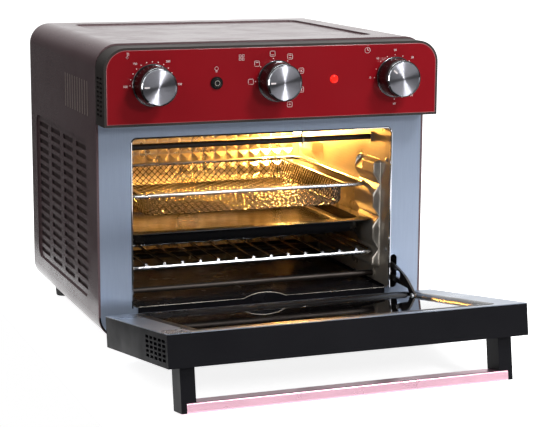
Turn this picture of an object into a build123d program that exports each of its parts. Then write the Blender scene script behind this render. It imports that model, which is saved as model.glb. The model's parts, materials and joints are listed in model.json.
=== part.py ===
"""Worktop air fryer oven with three control knobs and a drop-down glass door.

The worktop is z = 0, +X is to the right seen from the front and +Y runs from the door to the back.
At rest the door is open, as far as its stop lets it drop. Sizes are in millimetres.
"""
import os
from math import cos, radians, sin, sqrt, tan

from build123d import *

os.makedirs("parts", exist_ok=True)

# Casing
body_width = 380.0
head_space = 101.3
rear_space = 29.0
body_corner = 24.0
sheet = 0.8
hem_width = 2.4
hem_depth = 3.5
base_flange = 50.0
base_lap = 24.0
foot_height = 17.0
foot_radius = 11.0
foot_tip_radius = 8.8
foot_inset = 30.0
foot_front = 32.0
foot_back = 26.0
base_vent_length = 60.0
base_vent_width = 5.0
base_vent_pitch = 16.0
base_vent_count = 7

# Clearances
seat_gap = 0.1
slide_gap = 0.3
shaft_gap = 0.05

# Side grilles, side slits and the stamped top
pad_front = 43.0
pad_back = 27.0
pad_rise = 36.0
pad_drop = 107.0
pad_depth = 2.0
pad_corner = 12.0
grille_lap = 4.0
louvre_length = 45.0
louvre_height = 5.5
louvre_margin_y = 9.5
louvre_margin_z = 7.5
louvre_columns = 4
louvre_rows = 16
slit_front = 36.0
slit_pitch = 10.9
slit_count = 10
slit_width = 1.6
slit_height = 38.0
slit_drop = 42.0
top_pad_width = 286.0
top_pad_front = 34.0
top_pad_back = 30.0
top_pad_depth = 1.6

# Cavity
cavity_side_space = 38.0
cavity_height = 185.0
cavity_depth = 285.0
cavity_rise = 31.7
cavity_corner = 6.0
guide_first = 65.5
guide_pitch = 38.0
groove_height = 10.0
guide_count = 3
guide_base = 48.0
guide_crown = 24.0
guide_front = 27.0
guide_back = 15.0
guide_reach = 8.0
guide_corner = 6.0
guide_taper = 12.0

# Heaters, seen from the side
heater_radius = 3.25
heater_overhang = 14.0
top_heater_drop = 18.0
bottom_heater_rise = 8.6
top_heater_depths = (57.0, 215.0)
bottom_heater_depths = (44.0, 215.0)
collar_radius = 5.8
collar_flange_radius = 7.0
collar_flange = 1.6
collar_inside = 2.0
collar_outside = 10.0

# Fan above the cavity
fan_depth = 145.0
fan_radius = 72.0
fan_height = 14.0
fan_blade = 1.2
fan_blades = 10
fan_rise = 5.0
shroud_radius = 90.0
shroud_height = 26.0
shroud_flange = 8.0
motor_radius = 28.0
motor_height = 38.0
motor_shaft_radius = 3.0
motor_shaft_run = 26.0
bracket_width = 34.0
bracket_length = 110.0
bracket_rise = 9.0
bracket_sheet = 1.5
inlet_hole_radius = 3.5
inlet_first_radius = 18.0
inlet_ring_pitch = 16.0
inlet_rings = 4
inlet_first_holes = 8

# Control head
bezel_height = 82.0
bezel_drop = 2.0
bezel_depth = 34.6
bezel_wall = 3.0
panel_border = 2.6
panel_sheet = 2.0
panel_proud = 0.4
vent_slot_length = 9.0
vent_slot_height = 2.8
vent_slot_pitch = 4.8
vent_rows = 9
vent_columns = 2
vent_rise = 11.0
knob_side = 52.0
knob_drop = 41.0
knob_radius = 22.2
knob_front_radius = 19.7
knob_length = 24.0
knob_clear = 0.5
knob_rim = 0.9
knob_face_sheet = 1.6
knob_shaft_radius = 3.0
knob_socket = 15.0
shaft_seat = 18.0
switch_depth = 32.0
thermostat_width = 42.0
thermostat_height = 34.0
rotary_switch_radius = 19.0
timer_size = 46.0
button_x = -68.0
button_radius = 4.6
button_proud = 3.4
button_travel = 2.5
button_stem_radius = 2.0
button_stem = 10.0
button_ring = 1.8
button_ring_height = 1.4
light_switch_radius = 9.5
light_switch_depth = 22.0
lamp_x = 66.0
lamp_radius = 4.5
lamp_proud = 1.6
lamp_flange = 1.6

# Cavity light in the right wall
bulb_back = 23.0
bulb_drop = 29.7
bulb_radius = 8.0
bulb_neck = 5.5
bulb_reach = 20.0
socket_radius = 14.0
socket_length = 22.0

# Door, closed: t runs up from its lower edge and s runs out from its inner face
door_lift = 7.5
door_gap = 2.0
door_top_gap = 2.5
door_wall = 2.5
door_swing = 81.0
hinge_forward = 30.5
hinge_rise = 4.5
hinge_side = 35.0
hinge_eye = 8.0
hinge_eye_radius = 4.0
hinge_lug = 4.0
hinge_pin_radius = 2.0
hinge_arm_height = 4.9
hinge_arm_seat = 26.0
window_side = 28.0
window_low = 6.0
window_high = 11.0
window_corner = 8.0
seal_lip = 2.0
seal_width = 16.0
seal_depth = 7.2
seal_proud = 0.6
seal_ridge = 12.0
glass_sheet = 4.0
glass_grip = 4.0
glass_cover = 2.2
outer_window_side = 40.0
outer_window_low = 30.0
outer_window_high = 28.0
outer_glass_lap = 8.0
end_slot_length = 10.0
end_slot_height = 3.0
end_slot_pitch_t = 14.0
end_slot_pitch_s = 4.6
end_slot_columns = 5
end_slot_rows = 5
end_slot_drop = 40.0
end_slot_centre_s = 17.0

# Handle
post_side = 14.0
post_width = 15.0
post_drop = 11.0
post_length = 26.0
handle_stand = 45.0
bar_thickness = 10.0
bar_inset = 5.4
bar_proud = 0.5
handle_screw_radius = 2.0
handle_screw_head = 4.0
handle_screw_depth = 12.0

# Door link on the right, with its pin in the door and its blade through a slot in the front frame
link_side = 33.2
link_sheet = 2.5
link_pin_t = 27.0
link_pin_s = 4.0
link_pin_radius = 2.0
link_pin_head = 3.6
link_eye_radius = 5.0
link_slot_low = 31.5
link_slot_high = 70.0
link_slot_width = 8.6
link_reach = 78.0
link_low_edge = 6.3
link_high_edge = 26.5
link_bow = (32.8, 21.7)
link_neck = 15.0
link_window_start = 35.0
link_window_length = 30.0
link_window_width = 8.5
link_hook_radius = 2.2
link_hook_back = 6.0
ear_sheet = 2.4
notch_length = 45.0

# Food carriers
carrier_side_gap = 1.8
basket_front = 55.0
basket_back = 8.0
basket_wire = 2.5
basket_corner = 14.0
basket_rail = 1.6
bowl_side = 27.0
bowl_depth = 25.0
bowl_sheet = 1.2
bowl_corner = 12.0
tray_front = 38.0
tray_back = 7.0
tray_sheet = 1.0
tray_rim = 12.0
tray_depth = 16.0
tray_corner = 14.0
rack_front = 33.0
rack_back = 10.0
rack_wire = 2.4
rack_rod = 1.5
rack_weld = 0.7
rack_cross_rise = 0.5
rack_pitch = 21.0
rack_corner = 12.0
crumb_back = 7.0
crumb_sheet = 0.7
crumb_rim = 3.2
crumb_lip_drop = 8.0
crumb_tab_width = 50.0
crumb_tab_height = 5.6

# Back
gland_x = 120.0
gland_rise = 60.0
gland_radius = 8.0
gland_flange_radius = 12.0
gland_stand = 6.0
gland_bore = 3.6
screw_head_radius = 3.5
screw_head = 2.0
screw_shank_radius = 1.6
screw_shank = 6.0
screw_margin = 12.0
rear_vent_length = 34.0
rear_vent_width = 4.0
rear_vent_pitch_x = 44.0
rear_vent_pitch_z = 12.0
rear_vent_columns = 5
rear_vent_rows = 8
rear_vent_drop = 83.0

# Levels and widths, with the casing wrapped around the cavity
body_height = cavity_rise + cavity_height + head_space
body_depth = cavity_depth + rear_space
body_bottom = foot_height
body_top = body_bottom + body_height
body_middle = body_bottom + body_height / 2
half_width = body_width / 2
cavity_bottom = body_bottom + cavity_rise
cavity_top = cavity_bottom + cavity_height
cavity_middle = (cavity_bottom + cavity_top) / 2
cavity_half = half_width - cavity_side_space
bezel_top = body_top - bezel_drop
bezel_bottom = bezel_top - bezel_height
knob_z = body_top - knob_drop
base_top = body_bottom + 2 * sheet
hinge_z = body_bottom + hinge_rise
door_bottom = body_bottom + door_lift
door_length = bezel_bottom - door_top_gap - door_bottom
post_high = door_length - post_drop
post_low = post_high - post_length
door_thickness = bezel_depth + panel_proud - door_gap
handle_s = door_thickness + handle_stand
groove_floors = [body_bottom + guide_first + guide_pitch * level for level in range(guide_count)]


def dropped(t, s):
    """Y ahead of the front frame, and z, of the closed door's point (t, s) once the door is open."""
    turn = radians(door_swing)
    y = hinge_forward - door_gap - s
    z = door_bottom + t - hinge_z
    return y * cos(turn) - z * sin(turn) - hinge_forward, y * sin(turn) + z * cos(turn) + hinge_z


# Depths, with the open door and the cord gland reaching equally far from y = 0
front_reach = -min(dropped(door_length, door_thickness)[0], dropped(post_high, handle_s)[0])
front_y = (front_reach - body_depth - gland_stand) / 2
inside_y = front_y + sheet
back_y = front_y + body_depth
cavity_back = front_y + cavity_depth
bezel_front = front_y - bezel_depth
panel_front = bezel_front - panel_proud
hinge_y = front_y - hinge_forward
fan_y = front_y + fan_depth

front_plane = Plane.XZ.offset(-front_y)
closed_door = Plane(origin=(0, front_y - door_gap, door_bottom), x_dir=(1, 0, 0), z_dir=(0, -1, 0))
swing = Location((0, hinge_y, hinge_z), (door_swing, 0, 0)) * Location((0, -hinge_y, -hinge_z))
door_plane = Plane(swing * closed_door.location)


def slab(x0, x1, y0, y1, z0, z1, mode=Mode.ADD):
    """Box between two opposite corners of the current workplane."""
    with Locations(((x0 + x1) / 2, (y0 + y1) / 2, (z0 + z1) / 2)):
        Box(x1 - x0, y1 - y0, z1 - z0, mode=mode)


def rod_x(x0, x1, y, z, radius, mode=Mode.ADD):
    """Round bar along X."""
    with Locations(((x0 + x1) / 2, y, z)):
        Cylinder(radius, x1 - x0, rotation=(0, 90, 0), mode=mode)


def rod_y(x, y0, y1, z, radius, mode=Mode.ADD):
    """Round bar along Y."""
    with Locations((x, (y0 + y1) / 2, z)):
        Cylinder(radius, y1 - y0, rotation=(90, 0, 0), mode=mode)


def body_outline(inset, mode=Mode.ADD):
    """Rounded outline of the casing seen from the front, drawn smaller by inset."""
    with Locations((0, body_middle)):
        RectangleRounded(body_width - 2 * inset, body_height - 2 * inset, body_corner - inset, mode=mode)


# Outer shell: one wrapped sheet with a hem at its front, side windows, side slits and a stamped top
pad_length = body_depth - pad_front - pad_back
pad_height = body_height - pad_rise - pad_drop
pad_middle_y = front_y + pad_front + pad_length / 2
pad_middle_z = body_bottom + pad_rise + pad_height / 2
slit_middle_y = front_y + slit_front + slit_pitch * (slit_count - 1) / 2
slit_middle_z = body_top - slit_drop - slit_height / 2
top_pad_length = body_depth - top_pad_front - top_pad_back
top_pad_middle = front_y + top_pad_front + top_pad_length / 2

with BuildPart() as outer_shell:
    with BuildSketch(front_plane):
        body_outline(0)
        body_outline(sheet, Mode.SUBTRACT)
        with Locations((0, body_bottom)):
            Rectangle(body_width - 2 * base_flange, 4 * sheet, mode=Mode.SUBTRACT)
    extrude(amount=-body_depth)
    with BuildSketch(front_plane):
        body_outline(0)
        body_outline(hem_width, Mode.SUBTRACT)
        with Locations((0, body_bottom)):
            Rectangle(body_width, 2 * body_corner, mode=Mode.SUBTRACT)
    extrude(amount=-hem_depth)
    with BuildSketch(Plane.YZ.offset(-half_width)):
        with Locations((pad_middle_y, pad_middle_z)):
            RectangleRounded(pad_length, pad_height, pad_corner)
        with Locations((slit_middle_y, slit_middle_z)):
            with GridLocations(slit_pitch, slit_height, slit_count, 1):
                Rectangle(slit_width, slit_height)
    extrude(amount=body_width, mode=Mode.SUBTRACT)
    with BuildSketch(Plane.XY.offset(body_top - sheet)):
        with Locations((0, top_pad_middle)):
            RectangleRounded(top_pad_width + 2 * sheet, top_pad_length + 2 * sheet, pad_corner + sheet)
    extrude(amount=-top_pad_depth)
    with BuildSketch(Plane.XY.offset(body_top)):
        with Locations((0, top_pad_middle)):
            RectangleRounded(top_pad_width, top_pad_length, pad_corner)
    extrude(amount=-top_pad_depth, mode=Mode.SUBTRACT)
outer_shell.part.label = "outer_shell"
export_step(outer_shell.part, "parts/outer_shell.step")

# Side grilles: dished plates behind the shell's side windows, with rows of louvre slots
louvre_pitch_y = (pad_length - 2 * louvre_margin_y - louvre_length) / (louvre_columns - 1)
louvre_pitch_z = (pad_height - 2 * louvre_margin_z - louvre_height) / (louvre_rows - 1)

for side, grille_name in ((-1, "left_side_grille"), (1, "right_side_grille")):
    shell_inside = Plane.YZ.offset(side * (half_width - sheet))
    with BuildPart() as side_grille:
        with BuildSketch(shell_inside):
            with Locations((pad_middle_y, pad_middle_z)):
                RectangleRounded(
                    pad_length + 2 * grille_lap, pad_height + 2 * grille_lap, pad_corner + grille_lap
                )
        extrude(amount=-side * pad_depth)
        with BuildSketch(shell_inside):
            with Locations((pad_middle_y, pad_middle_z)):
                RectangleRounded(pad_length, pad_height, pad_corner)
        extrude(amount=-side * (pad_depth - sheet), mode=Mode.SUBTRACT)
        with BuildSketch(shell_inside):
            with Locations((pad_middle_y, pad_middle_z)):
                with GridLocations(louvre_pitch_y, louvre_pitch_z, louvre_columns, louvre_rows):
                    Rectangle(louvre_length, louvre_height)
        extrude(amount=-side * pad_depth, mode=Mode.SUBTRACT)
    side_grille.part.label = grille_name
    export_step(side_grille.part, f"parts/{grille_name}.step")

# Base plate, lapped over the shell's bottom flanges, with cooling slots
base_half = half_width - base_flange + base_lap

with BuildPart() as base_plate:
    slab(-base_half, base_half, inside_y + seat_gap, back_y - sheet - seat_gap, body_bottom + sheet, base_top)
    with BuildSketch(Plane.XY.offset(base_top)):
        with Locations((0, front_y + body_depth / 2)):
            with GridLocations(2 * base_vent_length, base_vent_pitch, 2, base_vent_count):
                SlotOverall(base_vent_length, base_vent_width)
    extrude(amount=-2 * sheet, mode=Mode.SUBTRACT)
base_plate.part.label = "base_plate"
export_step(base_plate.part, "parts/base_plate.step")

# Front frame: steel face with the cavity mouth, the link slot and holes for the control shafts
knob_places = (knob_side - half_width, 0.0, half_width - knob_side)
hinge_places = (hinge_side - half_width, half_width - hinge_side)
link_x = half_width - link_side

with BuildPart() as front_frame:
    with BuildSketch(front_plane):
        body_outline(hem_width + seat_gap)
        with Locations((0, cavity_middle)):
            RectangleRounded(2 * cavity_half, cavity_height, cavity_corner, mode=Mode.SUBTRACT)
        with Locations((link_x, body_bottom + (link_slot_low + link_slot_high) / 2)):
            SlotOverall(link_slot_high - link_slot_low, link_slot_width, rotation=90, mode=Mode.SUBTRACT)
        with Locations(*[(x, base_top + hinge_arm_height / 2) for x in hinge_places]):
            Rectangle(hinge_eye + 2 * slide_gap, hinge_arm_height + 2 * slide_gap, mode=Mode.SUBTRACT)
        with Locations(*[(x, knob_z) for x in knob_places]):
            Circle(knob_shaft_radius + slide_gap, mode=Mode.SUBTRACT)
    extrude(amount=-sheet)
front_frame.part.label = "front_frame"
export_step(front_frame.part, "parts/front_frame.step")

# Rear panel with vents and the cord hole
gland_z = body_bottom + gland_rise
screw_half_x = half_width - body_corner
screw_levels = (body_bottom + screw_margin, body_middle, body_top - screw_margin)
rear_screws = [(x, z) for x in (-screw_half_x, screw_half_x) for z in screw_levels]

with BuildPart() as rear_panel:
    with BuildSketch(Plane.XZ.offset(-back_y)):
        body_outline(sheet + seat_gap)
        with Locations((0, body_top - rear_vent_drop)):
            with GridLocations(rear_vent_pitch_x, rear_vent_pitch_z, rear_vent_columns, rear_vent_rows):
                SlotOverall(rear_vent_length, rear_vent_width, mode=Mode.SUBTRACT)
        with Locations((gland_x, gland_z)):
            Circle(gland_radius + seat_gap, mode=Mode.SUBTRACT)
        with Locations(*rear_screws):
            Circle(screw_shank_radius + seat_gap, mode=Mode.SUBTRACT)
    extrude(amount=sheet)
rear_panel.part.label = "rear_panel"
export_step(rear_panel.part, "parts/rear_panel.step")

# Cavity: floor, ceiling, rear wall and two side walls with embossed rack guides
top_heater_z = cavity_top - top_heater_drop
bottom_heater_z = cavity_bottom + bottom_heater_rise
top_heaters_at = [(front_y + depth, top_heater_z) for depth in top_heater_depths]
bottom_heaters_at = [(front_y + depth, bottom_heater_z) for depth in bottom_heater_depths]
heaters_at = top_heaters_at + bottom_heaters_at
wall_out = cavity_half + sheet
bulb_y = cavity_back - bulb_back
bulb_z = cavity_top - bulb_drop

guide_lows = [body_bottom + guide_base] + [floor + groove_height for floor in groove_floors]
guide_highs = groove_floors + [groove_floors[-1] + groove_height + guide_crown]
guide_spans = [((low + high) / 2, high - low) for low, high in zip(guide_lows, guide_highs)]
guide_length = cavity_depth - guide_front - guide_back
guide_middle = front_y + guide_front + guide_length / 2

for side, wall_name in ((-1, "cavity_left_wall"), (1, "cavity_right_wall")):
    with BuildPart() as cavity_wall:
        slab(
            min(side * cavity_half, side * wall_out), max(side * cavity_half, side * wall_out),
            inside_y, cavity_back, cavity_bottom - sheet, cavity_top + sheet,
        )
        with BuildSketch(Plane.YZ.offset(side * cavity_half)):
            for middle, height in guide_spans:
                with Locations((guide_middle, middle)):
                    RectangleRounded(guide_length, height, guide_corner)
        extrude(amount=-side * guide_reach, taper=guide_taper)
        with BuildSketch(Plane.YZ.offset(side * wall_out)):
            for middle, height in guide_spans:
                with Locations((guide_middle, middle)):
                    RectangleRounded(guide_length - 2 * sheet, height - 2 * sheet, guide_corner - sheet)
        extrude(amount=-side * guide_reach, taper=guide_taper, mode=Mode.SUBTRACT)
        for y, z in heaters_at:
            rod_x(*sorted((0, side * half_width)), y, z, collar_radius + seat_gap, Mode.SUBTRACT)
        if side > 0:
            rod_x(0, half_width, bulb_y, bulb_z, bulb_neck + slide_gap, Mode.SUBTRACT)
    cavity_wall.part.label = wall_name
    export_step(cavity_wall.part, f"parts/{wall_name}.step")

with BuildPart() as cavity_floor:
    slab(-cavity_half, cavity_half, inside_y, cavity_back, cavity_bottom - sheet, cavity_bottom)
cavity_floor.part.label = "cavity_floor"
export_step(cavity_floor.part, "parts/cavity_floor.step")

with BuildPart() as cavity_ceiling:
    slab(-cavity_half, cavity_half, inside_y, cavity_back, cavity_top, cavity_top + sheet)
    with BuildSketch(Plane.XY.offset(cavity_top)):
        for ring in range(inlet_rings):
            ring_radius = inlet_first_radius + inlet_ring_pitch * ring
            with Locations((0, fan_y)):
                with PolarLocations(ring_radius, inlet_first_holes * (ring + 1)):
                    Circle(inlet_hole_radius)
    extrude(amount=sheet, mode=Mode.SUBTRACT)
cavity_ceiling.part.label = "cavity_ceiling"
export_step(cavity_ceiling.part, "parts/cavity_ceiling.step")

with BuildPart() as cavity_rear_wall:
    slab(-wall_out, wall_out, cavity_back, cavity_back + sheet, cavity_bottom - sheet, cavity_top + sheet)
cavity_rear_wall.part.label = "cavity_rear_wall"
export_step(cavity_rear_wall.part, "parts/cavity_rear_wall.step")

# Heater tubes and the ceramic collars that carry them in the side walls
heater_half = cavity_half + heater_overhang

with BuildPart() as top_heaters:
    for y, z in top_heaters_at:
        rod_x(-heater_half, heater_half, y, z, heater_radius)
top_heaters.part.label = "top_heaters"
export_step(top_heaters.part, "parts/top_heaters.step")

with BuildPart() as bottom_heaters:
    for y, z in bottom_heaters_at:
        rod_x(-heater_half, heater_half, y, z, heater_radius)
bottom_heaters.part.label = "bottom_heaters"
export_step(bottom_heaters.part, "parts/bottom_heaters.step")

with BuildPart() as heater_collars:
    for y, z in heaters_at:
        for side in (-1, 1):
            collar_ends = sorted((side * (cavity_half - collar_inside), side * (wall_out + collar_outside)))
            flange_ends = sorted((side * wall_out, side * (wall_out + collar_flange)))
            rod_x(*collar_ends, y, z, collar_radius)
            rod_x(*flange_ends, y, z, collar_flange_radius)
            rod_x(*collar_ends, y, z, heater_radius + shaft_gap, Mode.SUBTRACT)
heater_collars.part.label = "heater_collars"
export_step(heater_collars.part, "parts/heater_collars.step")

# Fan: shroud on the ceiling, motor on its bracket, and the wheel with its shaft
shroud_bottom = cavity_top + sheet
shroud_top = shroud_bottom + shroud_height
motor_bottom = shroud_top + bracket_rise + bracket_sheet
fan_bottom = shroud_bottom + fan_rise
up = (Align.CENTER, Align.CENTER, Align.MIN)

with BuildPart() as fan_shroud:
    with Locations((0, fan_y, shroud_bottom)):
        Cylinder(shroud_radius + shroud_flange, sheet, align=up)
        Cylinder(shroud_radius, shroud_height, align=up)
        Cylinder(shroud_radius - sheet, shroud_height - sheet, align=up, mode=Mode.SUBTRACT)
        Cylinder(2 * motor_shaft_radius, shroud_height, align=up, mode=Mode.SUBTRACT)
fan_shroud.part.label = "fan_shroud"
export_step(fan_shroud.part, "parts/fan_shroud.step")

with BuildPart() as motor_bracket:
    bracket_y0 = fan_y - bracket_width / 2
    bracket_y1 = fan_y + bracket_width / 2
    bridge_half = motor_radius + bracket_sheet
    slab(-bracket_length / 2, bracket_length / 2, bracket_y0, bracket_y1, shroud_top, motor_bottom)
    bridge_bottom = shroud_top + bracket_rise
    slab(-bridge_half, bridge_half, bracket_y0, bracket_y1, shroud_top, bridge_bottom, Mode.SUBTRACT)
    with Locations((0, fan_y, shroud_top)):
        Cylinder(2 * motor_shaft_radius, bracket_rise + bracket_sheet, align=up, mode=Mode.SUBTRACT)
motor_bracket.part.label = "motor_bracket"
export_step(motor_bracket.part, "parts/motor_bracket.step")

with BuildPart() as fan_motor:
    with Locations((0, fan_y, motor_bottom)):
        Cylinder(motor_radius, motor_height, align=up)
        Cylinder(motor_shaft_radius + shaft_gap, motor_shaft_run, align=up, mode=Mode.SUBTRACT)
    chamfer(fan_motor.faces().sort_by(Axis.Z)[-1].edges(), 2 * sheet)
fan_motor.part.label = "fan_motor"
export_step(fan_motor.part, "parts/fan_motor.step")

with BuildPart() as fan_wheel:
    with Locations((0, fan_y, fan_bottom)):
        Cylinder(fan_radius, fan_blade, align=up)
        Cylinder(3 * motor_shaft_radius, fan_height, align=up)
        Cylinder(motor_shaft_radius, motor_bottom + motor_shaft_run - slide_gap - fan_bottom, align=up)
    with Locations((0, fan_y, fan_bottom)):
        with PolarLocations((fan_radius + 2 * motor_shaft_radius) / 2, fan_blades):
            Box(fan_radius - 2 * motor_shaft_radius, fan_blade, fan_height, align=up)
fan_wheel.part.label = "fan_wheel"
export_step(fan_wheel.part, "parts/fan_wheel.step")

# Control head: hollow bezel, glossy panel, and the button and lamp places
vent_bottom = bezel_bottom + vent_rise
vent_middle_z = vent_bottom + vent_slot_pitch * (vent_rows - 1) / 2
vent_middle_y = bezel_front + bezel_wall + (bezel_depth - bezel_wall) / 2
vent_pitch_y = vent_slot_length + bezel_wall
pocket_depth = panel_sheet - panel_proud


def head_outline(inset, mode=Mode.ADD):
    """Control head seen from the front, round at its top corners, drawn smaller by inset."""
    width = body_width - 2 * inset
    height = bezel_height - 2 * inset
    arc = body_corner - inset
    with Locations((0, (bezel_top + bezel_bottom) / 2)):
        Rectangle(width - 2 * arc, height, mode=mode)
    with Locations((0, (bezel_top + bezel_bottom - arc) / 2)):
        Rectangle(width, height - arc, mode=mode)
    with Locations(*[(x, bezel_top - inset - arc) for x in (arc - width / 2, width / 2 - arc)]):
        Circle(arc, mode=mode)


with BuildPart() as control_bezel:
    with BuildSketch(front_plane):
        head_outline(0)
    extrude(amount=bezel_depth)
    with BuildSketch(front_plane):
        head_outline(bezel_wall)
    extrude(amount=bezel_depth - bezel_wall, mode=Mode.SUBTRACT)
    with BuildSketch(Plane.XZ.offset(-bezel_front)):
        head_outline(panel_border)
    extrude(amount=-pocket_depth, mode=Mode.SUBTRACT)
    with BuildSketch(Plane.XZ.offset(-bezel_front)):
        with Locations(*[(x, knob_z) for x in knob_places]):
            Circle(knob_shaft_radius + slide_gap)
        with Locations((button_x, knob_z)):
            Circle(button_radius + slide_gap)
        with Locations((lamp_x, knob_z)):
            Circle(lamp_radius + seat_gap)
    extrude(amount=-bezel_wall, mode=Mode.SUBTRACT)
    with BuildSketch(Plane.YZ.offset(-half_width)):
        with Locations((vent_middle_y, vent_middle_z)):
            with GridLocations(vent_pitch_y, vent_slot_pitch, vent_columns, vent_rows):
                SlotOverall(vent_slot_length, vent_slot_height)
    extrude(amount=body_width, mode=Mode.SUBTRACT)
control_bezel.part.label = "control_bezel"
export_step(control_bezel.part, "parts/control_bezel.step")

with BuildPart() as control_panel:
    with BuildSketch(Plane.XZ.offset(-panel_front)):
        head_outline(panel_border + seat_gap)
        with Locations(*[(x, knob_z) for x in knob_places]):
            Circle(knob_shaft_radius + slide_gap, mode=Mode.SUBTRACT)
        with Locations((button_x, knob_z)):
            Circle(button_radius + slide_gap, mode=Mode.SUBTRACT)
        with Locations((lamp_x, knob_z)):
            Circle(lamp_radius + seat_gap, mode=Mode.SUBTRACT)
    extrude(amount=-panel_sheet)
control_panel.part.label = "control_panel"
export_step(control_panel.part, "parts/control_panel.step")

# Knobs, their metal faces and their shafts
knob_back = panel_front - knob_clear
face_radius = knob_front_radius - knob_rim

for knob_name, knob_x in zip(("temperature", "function", "timer"), knob_places):
    knob_plane = Plane(origin=(knob_x, knob_back, knob_z), x_dir=(1, 0, 0), z_dir=(0, -1, 0))
    with BuildPart(knob_plane) as knob:
        Cone(knob_radius, knob_front_radius, knob_length, align=up)
        fillet(knob.faces().sort_by(Axis.Y)[0].edges(), knob_rim / 2)
        with Locations((0, 0, knob_length - knob_rim)):
            Cylinder(face_radius + seat_gap, knob_rim, align=up, mode=Mode.SUBTRACT)
        Cylinder(knob_shaft_radius + shaft_gap, knob_socket, align=up, mode=Mode.SUBTRACT)
    knob.part.label = f"{knob_name}_knob"
    export_step(knob.part, f"parts/{knob_name}_knob.step")

    with BuildPart(knob_plane) as knob_face:
        with Locations((0, 0, knob_length - knob_rim)):
            Cylinder(face_radius, knob_face_sheet, align=up)
        chamfer(knob_face.faces().sort_by(Axis.Y)[0].edges(), knob_rim / 2)
    knob_face.part.label = f"{knob_name}_knob_face"
    export_step(knob_face.part, f"parts/{knob_name}_knob_face.step")

    with BuildPart() as knob_shaft:
        rod_y(knob_x, knob_back - knob_socket + slide_gap, inside_y + shaft_seat, knob_z, knob_shaft_radius)
    knob_shaft.part.label = f"{knob_name}_shaft"
    export_step(knob_shaft.part, f"parts/{knob_name}_shaft.step")

# Thermostat, rotary switch and timer behind the front frame, each bored for its shaft
shaft_bore = knob_shaft_radius + shaft_gap
shaft_room = shaft_seat + slide_gap
control_back = Plane.XZ.offset(-inside_y)

with BuildPart() as thermostat:
    with BuildSketch(control_back):
        with Locations((knob_places[0], knob_z)):
            RectangleRounded(thermostat_width, thermostat_height, pocket_depth)
    extrude(amount=-switch_depth)
    rod_y(knob_places[0], inside_y, inside_y + shaft_room, knob_z, shaft_bore, Mode.SUBTRACT)
thermostat.part.label = "thermostat"
export_step(thermostat.part, "parts/thermostat.step")

with BuildPart() as function_switch:
    rod_y(knob_places[1], inside_y, inside_y + switch_depth, knob_z, rotary_switch_radius)
    rod_y(knob_places[1], inside_y, inside_y + shaft_room, knob_z, shaft_bore, Mode.SUBTRACT)
function_switch.part.label = "function_switch"
export_step(function_switch.part, "parts/function_switch.step")

with BuildPart() as timer_switch:
    with BuildSketch(control_back):
        with Locations((knob_places[2], knob_z)):
            RectangleRounded(timer_size, timer_size, pocket_depth)
    extrude(amount=-switch_depth)
    rod_y(knob_places[2], inside_y, inside_y + shaft_room, knob_z, shaft_bore, Mode.SUBTRACT)
timer_switch.part.label = "timer_switch"
export_step(timer_switch.part, "parts/timer_switch.step")

# Light button, its ring on the panel and the push switch behind it
wall_back = bezel_front + bezel_wall
plunger_room = button_travel + 2 * slide_gap
stem_back = wall_back + button_stem
stem_bore = button_stem_radius + shaft_gap

with BuildPart() as light_button:
    rod_y(button_x, panel_front - button_proud, wall_back, knob_z, button_radius)
    fillet(light_button.faces().sort_by(Axis.Y)[0].edges(), pocket_depth / 2)
    rod_y(button_x, wall_back, stem_back, knob_z, button_stem_radius)
light_button.part.label = "light_button"
export_step(light_button.part, "parts/light_button.step")

with BuildPart() as button_bezel:
    ring_inner = button_radius + slide_gap
    rod_y(button_x, panel_front - button_ring_height, panel_front, knob_z, ring_inner + button_ring)
    rod_y(button_x, panel_front - button_ring_height, panel_front, knob_z, ring_inner, Mode.SUBTRACT)
button_bezel.part.label = "button_bezel"
export_step(button_bezel.part, "parts/button_bezel.step")

with BuildPart() as light_switch:
    rod_y(button_x, wall_back, wall_back + light_switch_depth, knob_z, light_switch_radius)
    rod_y(button_x, wall_back, wall_back + plunger_room, knob_z, button_radius + slide_gap, Mode.SUBTRACT)
    rod_y(button_x, wall_back, stem_back + plunger_room, knob_z, stem_bore, Mode.SUBTRACT)
light_switch.part.label = "light_switch"
export_step(light_switch.part, "parts/light_switch.step")

with BuildPart() as power_lamp:
    rod_y(lamp_x, panel_front - lamp_proud, wall_back + lamp_flange, knob_z, lamp_radius)
    fillet(power_lamp.faces().sort_by(Axis.Y)[0].edges(), lamp_proud * 0.9)
    rod_y(lamp_x, wall_back, wall_back + lamp_flange, knob_z, lamp_radius + lamp_flange)
power_lamp.part.label = "power_lamp"
export_step(power_lamp.part, "parts/power_lamp.step")

# Cavity light: a small bulb through the right wall, held in a socket outside it
bulb_x = cavity_half - bulb_reach + bulb_radius
neck_start = sqrt(bulb_radius**2 - bulb_neck**2)
neck_end = wall_out + bulb_radius - bulb_x

with BuildPart() as lamp_bulb:
    with BuildSketch(Plane((bulb_x, bulb_y, bulb_z), x_dir=(1, 0, 0), z_dir=(0, -1, 0))):
        with BuildLine():
            ThreePointArc((-bulb_radius, 0), (0, bulb_radius), (neck_start, bulb_neck))
            Polyline((neck_start, bulb_neck), (neck_end, bulb_neck), (neck_end, 0), (-bulb_radius, 0))
        make_face()
    revolve(axis=Axis((bulb_x, bulb_y, bulb_z), (1, 0, 0)))
lamp_bulb.part.label = "lamp_bulb"
export_step(lamp_bulb.part, "parts/lamp_bulb.step")

with BuildPart() as lamp_socket:
    rod_x(wall_out, wall_out + socket_length, bulb_y, bulb_z, socket_radius)
    rod_x(wall_out, wall_out + bulb_radius + slide_gap, bulb_y, bulb_z, bulb_neck + seat_gap, Mode.SUBTRACT)
lamp_socket.part.label = "lamp_socket"
export_step(lamp_socket.part, "parts/lamp_socket.step")

# Feet under the shell's bottom flanges
foot_x = half_width - foot_inset

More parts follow.
